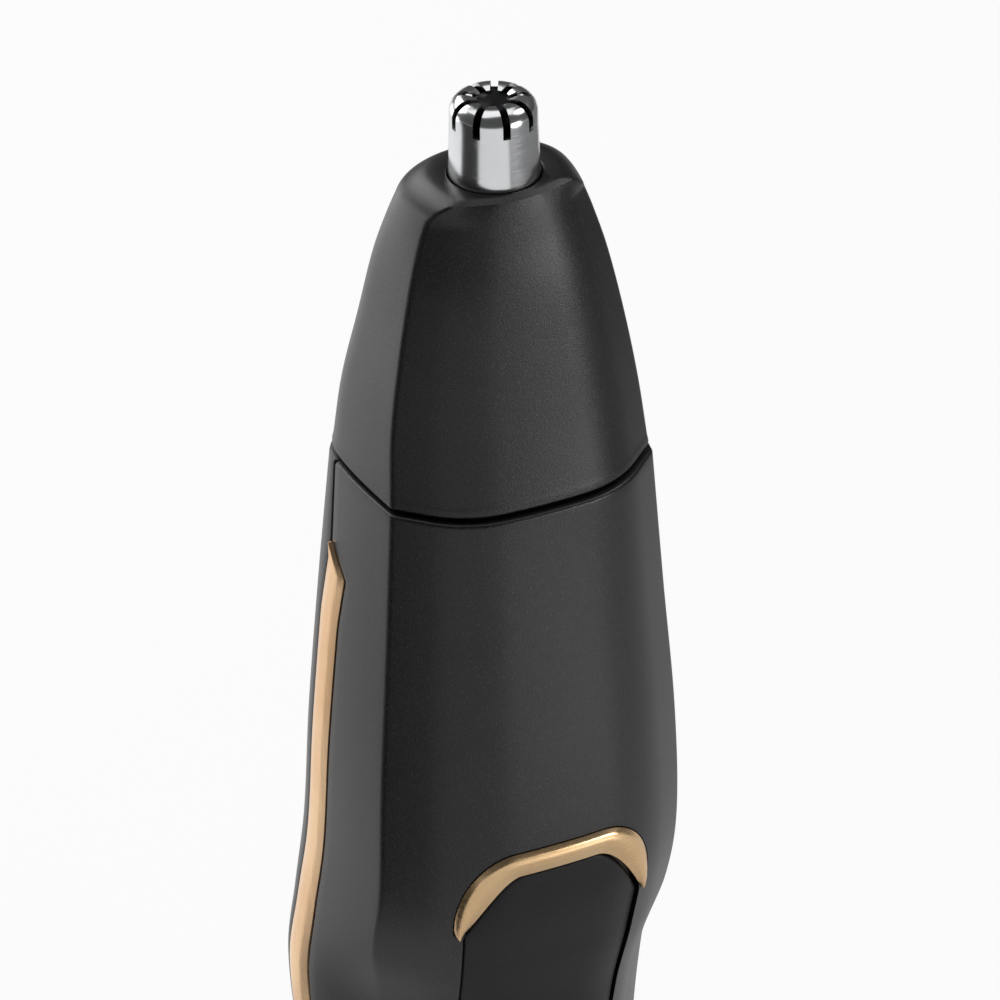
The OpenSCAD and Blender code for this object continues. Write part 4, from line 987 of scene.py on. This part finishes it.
def build_slot_ring():
    tree, names, source, sink = tree_with("slot ring", [
        ("Count", "NodeSocketInt", 9), ("Turn", "NodeSocketFloat", 0.0),
        ("Slot", "NodeSocketObject", None), ("Finish", "NodeSocketMaterial", None)])
    points, index, step, angle, turn, slot, copies, real, cut, coloured = add_nodes(
        tree, "GeometryNodePoints", "GeometryNodeInputIndex", "ShaderNodeMath",
        "ShaderNodeMath", "ShaderNodeCombineXYZ", "GeometryNodeObjectInfo",
        "GeometryNodeInstanceOnPoints", "GeometryNodeRealizeInstances",
        "GeometryNodeMeshBoolean", "GeometryNodeSetMaterial")
    step.operation, step.inputs[0].default_value = "DIVIDE", 2 * pi
    angle.operation = "MULTIPLY_ADD"
    cut.operation, cut.solver = "DIFFERENCE", "EXACT"
    connect(tree, (source.outputs["Count"], points.inputs["Count"]),
            (source.outputs["Count"], step.inputs[1]),
            (index.outputs[0], angle.inputs[0]), (step.outputs[0], angle.inputs[1]),
            (source.outputs["Turn"], angle.inputs[2]), (angle.outputs[0], turn.inputs["Z"]),
            (source.outputs["Slot"], slot.inputs["Object"]),
            (points.outputs[0], copies.inputs["Points"]),
            (slot.outputs["Geometry"], copies.inputs["Instance"]),
            (turn.outputs[0], copies.inputs["Rotation"]),
            (copies.outputs[0], real.inputs[0]),
            (source.outputs["Geometry"], cut.inputs["Mesh 1"]),
            (real.outputs[0], cut.inputs["Mesh 2"]),
            (cut.outputs["Mesh"], coloured.inputs["Geometry"]),
            (source.outputs["Finish"], coloured.inputs["Material"]),
            (coloured.outputs[0], sink.inputs[0]))
    return tree, names


SLOT_RING, SLOT_NAMES = build_slot_ring()
print("inputs:", list(SLOT_NAMES))

# %% Cutter cap
def cap_arc(r, h, curve, dish):
    """Profile from the dished eye over the rim to the wall, at radius r and rim height h."""
    flat = r - curve
    crown = [(x, h - dish * ((flat - x) / (flat - CAP_EYE_R))**2)
             for x in steps(CAP_EYE_R, flat, 5)[:-1]]
    return crown + [(flat + curve * sin(a), h - curve + curve * cos(a))
                    for a in steps(0, pi / 2, 10)]


def revolved(name, profile, material, count=144):
    """A closed profile of (radius, height over the joint), turned round the cutter's axis."""
    rings = [[(r * cos(a), r * sin(a), JOINT + h) for r, h in profile]
             for a in round_angles(count)]
    return make_piece(name, *loft(rings, round_trip=True), material)


def cutter_cap():
    outer = cap_arc(CAP_R, CAP_H, CAP_BEND, CAP_DISH)
    inner = cap_arc(CAP_R - CAP_T, CAP_INNER_H, CAP_BEND - CAP_T, CAP_INNER_DISH)
    wall_top, wall_foot = outer[-1][1], CREASE + DOME_H
    wall = [(CAP_R + CAP_FLARE * t**1.5, mix(wall_top, wall_foot, t)) for t in steps(0, 1, 8)[1:]]
    profile = (outer + wall + [(CAP_R, CAP_FOOT + FLANGE_T), (FLANGE_R, CAP_FOOT + FLANGE_T),
                               (FLANGE_R, CAP_FOOT), (CAP_R - CAP_T, CAP_FOOT)] + inner[::-1])
    blank = revolved("cap_blank", profile[::-1], STEEL)
    foot = wall_top - SLOT_DROP
    cutter = slab("one_slot", (SLOT_START, CAP_R + 1), (-SLOT_W / 2, SLOT_W / 2),
                  (JOINT + foot, JOINT + CAP_H + 1))
    piece = run_tree(blank, SLOT_RING, SLOT_NAMES, {
        "Count": SLOT_COUNT, "Turn": radians(SLOT_TURN), "Slot": cutter, "Finish": STEEL},
        "slotted_cap")
    bpy.data.objects.remove(cutter)
    return piece


cap = mount(cutter_cap(), "head", "polished_steel", "cutter_cap")

# %% [markdown]
# ## The base cap
# The base closes the handle from below. It stands on a flat ring with a rolled edge, and has holes
# for the charging socket and two screws. One loft goes up the outside and down into its cup.

# %% Base cap
BASE_EDGE, BASE_FLOOR, INLET_Y, SOCKET_R, BASE_SCREW_X = 1.2, 2.4, 5.0, 4.0, 8.6
SCREW_HEAD_R, SCREW_HEAD_T, HEAD_SUNK, HEAD_ROOM, SCREW_HOLE_R = 1.5, 0.9, 0.2, 0.15, 1.05


def base_rings():
    rings = [ring(inset(handle_at(z), t), z) for z, t in
             [(BASE_EDGE * (1 - sin(a)), BASE_EDGE * (1 - cos(a))) for a in steps(pi / 2, 0, 8)]]
    rings += [ring(handle_at(BASE_H - SEAT_GAP), BASE_H - SEAT_GAP),
              ring(inset(handle_at(BASE_H - SEAT_GAP), SHELL_WALL), BASE_H - SEAT_GAP),
              ring(inset(handle_at(BASE_FLOOR), SHELL_WALL), BASE_FLOOR)]
    return rings


def drum(name, x, y, r, z, count=48):
    rings = [[(x + r * cos(a), y + r * sin(a), h) for a in round_angles(count)] for h in z]
    return make_piece(name, *loft(rings), INNER_BLACK)


base = make_piece("base_cap_skin", *loft(base_rings()), SOFT_BLACK)
holes = [drum("socket_hole", 0, INLET_Y, SOCKET_R + SEAT_GAP, (-1, BASE_H - 1))]
for side in (-1, 1):
    holes += [drum("screw_hole", side * BASE_SCREW_X, INLET_Y, SCREW_HOLE_R, (-1, BASE_H)),
              drum("screw_seat", side * BASE_SCREW_X, INLET_Y, SCREW_HEAD_R + HEAD_ROOM,
                   (-1, SCREW_HEAD_T + HEAD_SUNK))]
carve(base, holes)
mount(base, "handle", "soft_black", "base_cap")

# %% [markdown]
# ## Pieces that only need their edges eased
# Many inner pieces already have the right shape, but a machined or moulded edge is never knife
# sharp. `eased` copies such a node, merges its loose triangles, gives its hard edges a small bevel
# and shades the rest smooth. The pieces that show when the head is pulled off are done this way.

# %% Eased copies
MERGE, FLAT_ANGLE, HARD_ANGLE = 0.001, 0.5, 40


def eased(node, name, material, body, slot, bevel):
    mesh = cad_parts[node].data.copy()
    mesh.name = name
    bm = bmesh.new()
    bm.from_mesh(mesh)
    bmesh.ops.remove_doubles(bm, verts=bm.verts, dist=MERGE * MM)
    bmesh.ops.dissolve_limit(bm, angle_limit=radians(FLAT_ANGLE), verts=bm.verts, edges=bm.edges)
    hard = [e for e in bm.edges
            if len(e.link_faces) == 2 and e.calc_face_angle(0) > radians(HARD_ANGLE)]
    if bevel:
        bmesh.ops.bevel(bm, geom=hard, offset=bevel * MM, segments=2, profile=0.5,
                        affect="EDGES", clamp_overlap=True)
    bm.to_mesh(mesh)
    bm.free()
    mesh.materials.clear()
    mesh.materials.append(material)
    smooth_by_angle(mesh)
    return mount(link(bpy.data.objects.new(name, mesh)), body, slot, node)


EASED = [
    ("neck_plate", "neck_plate_skin", INNER_BLACK, "handle", "inner_black", 0.15),
    ("neck_seal", "neck_seal_ring", RUBBER, "handle", "seal_rubber", 0),
    ("latch_springs", "latch_leaves", MACHINED, "handle", "steel", 0.05),
    ("neck_screws", "neck_screw_pair", MACHINED, "handle", "steel", 0.08),
    ("base_screws", "base_screw_pair", MACHINED, "handle", "steel", 0.08),
    ("charge_socket", "charge_socket_skin", INNER_BLACK, "handle", "inner_black", 0.15),
    ("status_light", "status_lens", LIGHT_LENS, "handle", "light_lens", 0.15),
    ("drive_cam", "drive_cam_skin", MACHINED, "rotor", "steel", 0.1),
    ("head_base", "head_base_skin", INNER_BLACK, "head", "inner_black", 0.12),
    ("crank_coupling", "coupling_skin", INNER_BLACK, "cutter", "inner_black", 0.1),
    ("cutter_spindle", "spindle_skin", MACHINED, "cutter", "steel", 0.08),
    ("cutter_spring", "spring_wire", MACHINED, "cutter", "steel", 0),
    # painted shade: the blade cup is made dark so that the cap's slots look dark inside
    ("inner_cutter", "blade_cup", PAINTED_SHADE_STEEL, "cutter", "steel", 0.03),
]
for row in EASED:
    eased(*row)

# %% [markdown]
# ## Finishes of the inner works
# The rest stays as constructed and only gets a material: the frame, the motor and its parts, the
# battery, the board. They are hidden when the trimmer is closed, but whoever opens the part finds
# each piece in a finish of its own.

# %% Materials on carried-over nodes
FINISH_OF = {
    "cap_retainer": INNER_BLACK, "upper_bush": BRASS, "lower_bush": BRASS,
    "thrust_washer": MACHINED, "switch_carriage": INNER_BLACK, "chassis": INNER_BLACK,
    "motor_can": MACHINED, "motor_magnets": MAGNET, "motor_cap": INNER_BLACK,
    "motor_brushes": BRASS, "motor_terminals": BRASS, "armature": MACHINED,
    "commutator": BRASS, "motor_shaft": MACHINED, "battery_cell": CELL_WRAP,
    "battery_tabs": MACHINED, "circuit_board": BOARD_GREEN, "board_switch": MACHINED,
    "control_chip": INNER_BLACK, "status_led": LED_WHITE, "motor_leads": LEAD_RED,
}
for node, material in FINISH_OF.items():
    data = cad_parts[node].data
    data.materials.clear()
    data.materials.append(material)
print("nodes without a finish:", sorted(set(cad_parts) - set(FINISH_OF) - dressed))

# %% [markdown]
# ## Floor and world
# The photograph has no shadow and a white ground, so the floor is a plain pale disc that the camera
# sees almost white and that still keeps the object's shadow. A black, faintly shiny object would
# mirror an even white room and turn grey, so for reflections the floor is dim. This is a choice of
# the studio: in another light the same materials reflect whatever stands round them.

# %% Floor and world
FLOOR_R, FLOOR_GREY = 3.0, 0.8
CAMERA_SHARE, GLOSSY_SHARE, TRANSMISSION_SHARE = 0.91, 0.22, 0.85
WORLD_LEVEL = 0.08
WHITE = (1, 1, 1, 1)


def bare_material(name):
    """A material with nothing in it but its output."""
    material = bpy.data.materials.new(name)
    material.use_nodes = True
    tree = material.node_tree
    tree.nodes.clear()
    return material, tree, tree.nodes.new("ShaderNodeOutputMaterial")


def glow(tree, level):
    node = tree.nodes.new("ShaderNodeEmission")
    node.inputs["Color"].default_value, node.inputs["Strength"].default_value = WHITE, level
    return node.outputs[0]


def floor_material():
    material, tree, out = bare_material("pale_floor")
    cloth, rays, blend = add_nodes(tree, "ShaderNodeBsdfDiffuse", "ShaderNodeLightPath",
                                   "ShaderNodeMixShader")
    cloth.inputs["Color"].default_value = (FLOOR_GREY, FLOOR_GREY, FLOOR_GREY, 1)
    share = None
    for ray, part in (("Is Camera Ray", CAMERA_SHARE), ("Is Glossy Ray", GLOSSY_SHARE),
                      ("Is Transmission Ray", TRANSMISSION_SHARE)):
        add = tree.nodes.new("ShaderNodeMath")
        add.operation, add.inputs[1].default_value = "MULTIPLY_ADD", part
        add.inputs[2].default_value = 0.0
        tree.links.new(rays.outputs[ray], add.inputs[0])
        if share:
            tree.links.new(share, add.inputs[2])
        share = add.outputs[0]
    connect(tree, (share, blend.inputs[0]), (cloth.outputs[0], blend.inputs[1]),
            (glow(tree, 1.0), blend.inputs[2]), (blend.outputs[0], out.inputs["Surface"]))
    return material


floor_ring = [(FLOOR_R / MM * cos(a), FLOOR_R / MM * sin(a), 0) for a in round_angles(96)]
floor = make_piece("floor", floor_ring, [tuple(range(len(floor_ring)))], floor_material())


def light_world(strength):
    """A dim even world that the camera sees as white."""
    world = bpy.data.worlds.new("studio")
    bpy.context.scene.world = world
    world.use_nodes = True
    tree = world.node_tree
    tree.nodes.clear()
    out, dim, seen, rays, blend = add_nodes(
        tree, "ShaderNodeOutputWorld", "ShaderNodeBackground", "ShaderNodeBackground",
        "ShaderNodeLightPath", "ShaderNodeMixShader")
    dim.inputs["Color"].default_value, dim.inputs["Strength"].default_value = WHITE, strength
    seen.inputs["Color"].default_value = WHITE
    connect(tree, (rays.outputs["Is Camera Ray"], blend.inputs[0]),
            (dim.outputs[0], blend.inputs[1]), (seen.outputs[0], blend.inputs[2]),
            (blend.outputs[0], out.inputs["Surface"]))


light_world(WORLD_LEVEL)
bpy.context.scene.view_settings.view_transform = "Standard"

# %% [markdown]
# ## Lamps and cards
# In the photograph the left side and the right of the front are light, and what lies between them
# is dark. Five area lamps give that: a small one in front on the right, one high on the right, two
# behind on the left and a weak one overhead. A photographer also lays cards round a shiny thing.
# Here flat black, grey and white cards lie on the floor, where only reflections see them.

# %% Lamps
def around(azimuth, distance, height):
    """A place round the object: azimuth 0 is in front of it, 90 on its right."""
    a = radians(azimuth)
    return Vector((distance * sin(a), -distance * cos(a), height))


def softbox(name, place, aim, size, radiance):
    """A lamp is set by how bright its face looks, so that its size can change by itself."""
    data = bpy.data.lights.new(name, "AREA")
    data.shape, data.size, data.size_y = "RECTANGLE", size[0], size[1]
    data.energy = radiance * pi * size[0] * size[1]
    obj = link(bpy.data.objects.new(name, data))
    obj.matrix_world = (Matrix.Translation(place)
                        @ (aim - place).to_track_quat("-Z", "Y").to_matrix().to_4x4())
    return obj


MIDDLE = Vector((0, 0, 0.11))
softbox("front_right_softbox", around(34, 0.5, 0.125), MIDDLE, (0.2, 0.2), 6.5)
softbox("right_top_softbox", around(85, 0.42, 0.61), MIDDLE, (0.26, 0.22), 4.0)
softbox("back_left_softbox", around(-158, 0.58, 0.5), MIDDLE, (0.6, 0.4), 3.6)
softbox("back_left_wall", around(-145, 0.55, 0.1), MIDDLE, (0.5, 0.2), 1.9)
softbox("top_softbox", around(180, 0.1, 0.7), MIDDLE, (0.6, 0.5), 1.1)


CARD_RISE = 0.001


def card(name, azimuths, radii, level):
    """A card on the floor that only reflections see: black, grey or white by its level."""
    material, tree, out = bare_material(name)
    tree.links.new(glow(tree, level), out.inputs["Surface"])
    arc = [around(a, radii[0], CARD_RISE) for a in steps(*azimuths, 12)]
    arc += [around(a, radii[1], CARD_RISE) for a in steps(azimuths[1], azimuths[0], 12)]
    piece = make_piece(name, [tuple(p / MM) for p in arc], [tuple(range(len(arc)))], material)
    piece.visible_camera = piece.visible_diffuse = piece.visible_shadow = False


for name, azimuths, radii, level in (("left_card", (-112, -64), (0.07, 1.2), 0.04),
                                     ("right_card", (14, 128), (0.26, 1.2), 0.2),
                                     ("front_card", (-62, 13), (0.26, 1.2), 0.85),
                                     ("key_card", (16, 36), (0.13, 0.25), 2.6),
                                     ("back_card", (-180, -114), (0.07, 1.2), 1.0)):
    card(name, azimuths, radii, level)

# %% [markdown]
# ## Image points
# Image points are places in the photograph's frame, 1000 by 1000. They set the camera first.
# Later, those whose feature the finished model shows elsewhere were moved there, so by now they
# describe the render and are no proof of its likeness. `shown_at` gives the place in the picture
# of a point in space. The script works out where each thing shows and keeps that in a table; it
# changes nothing by it.

# %% Image points
WIDTH = HEIGHT = 1000
LONG = max(WIDTH, HEIGHT)


def shown_at(point):
    p = camera.matrix_world.inverted() @ Vector(point)
    scale = LONG * camera.data.lens / camera.data.sensor_width / -p.z
    return (WIDTH / 2 - camera.data.shift_x * LONG + p.x * scale,
            HEIGHT / 2 + camera.data.shift_y * LONG - p.y * scale)


def tree_of(*pieces):
    """One BVH tree of finished pieces in place."""
    verts, polygons = [], []
    for piece in pieces:
        start = len(verts)
        verts += [piece.matrix_world @ v.co for v in piece.data.vertices]
        polygons += [[start + i for i in face.vertices] for face in piece.data.polygons]
    return BVHTree.FromPolygons(verts, polygons)


bpy.context.view_layer.update()
outside = [head, front, rear, left_trim, right_trim, bow, panel, cap, base]
tree_all = tree_of(*outside)
SIGHT_MARGIN, FOOT_BAND = 0.4, 1.0


def visible(point):
    """True where nothing stands between the camera and the point."""
    origin = camera.matrix_world.translation
    way = Vector(point) - origin
    hit = tree_all.ray_cast(origin, way.normalized())[0]
    return hit is None or (hit - origin).length > way.length - SIGHT_MARGIN * MM


def seen_points(piece, below=float("inf")):
    """Where the visible vertices show, or only those under a height."""
    places = [piece.matrix_world @ v.co for v in piece.data.vertices]
    return [shown_at(p) for p in places if p.z < below * MM and visible(p)]


def feature(outline_point, z):
    x, y = outline_point
    return Vector((x, -y, z)) * MM


joint_s = handle_at(JOINT)
in_frame = [p for piece in outside for p in seen_points(piece) if p[1] < HEIGHT]
cap_seen = seen_points(cap)
foot_seen = seen_points(head, JOINT + FOOT_BAND)
front_edge = FLAT_SHARE * joint_s[1]
tips = [Vector(bow_point(bow_rows()[i], 0.5, 0)) * MM for i in (1, -2)]
SHOWN = {
    "left_edge_x": min(p[0] for p in in_frame),
    "right_edge_x": max(p[0] for p in in_frame), "top_edge_y": min(p[1] for p in in_frame),
    "cap_left_x": min(p[0] for p in cap_seen), "cap_right_x": max(p[0] for p in cap_seen),
    "trim_tip": min(seen_points(left_trim), key=lambda p: p[1]),
    "head_left_foot": min(foot_seen), "head_right_foot": max(foot_seen),
    "joint_front_left": shown_at(feature((-joint_s[1], corner_y(joint_s)), JOINT)),
    "joint_front_right": shown_at(feature((front_edge, facet_y(front_edge, JOINT)), JOINT)),
    "bow_left_tip": shown_at(tips[0]), "bow_right_tip": shown_at(tips[1]),
    "bow_bar_middle": shown_at(Vector(bow_point((np.array((0, BOW_TOP)),
                                                 np.array((0, BOW_INNER_TOP))), 0.5, 0.5)) * MM),
}
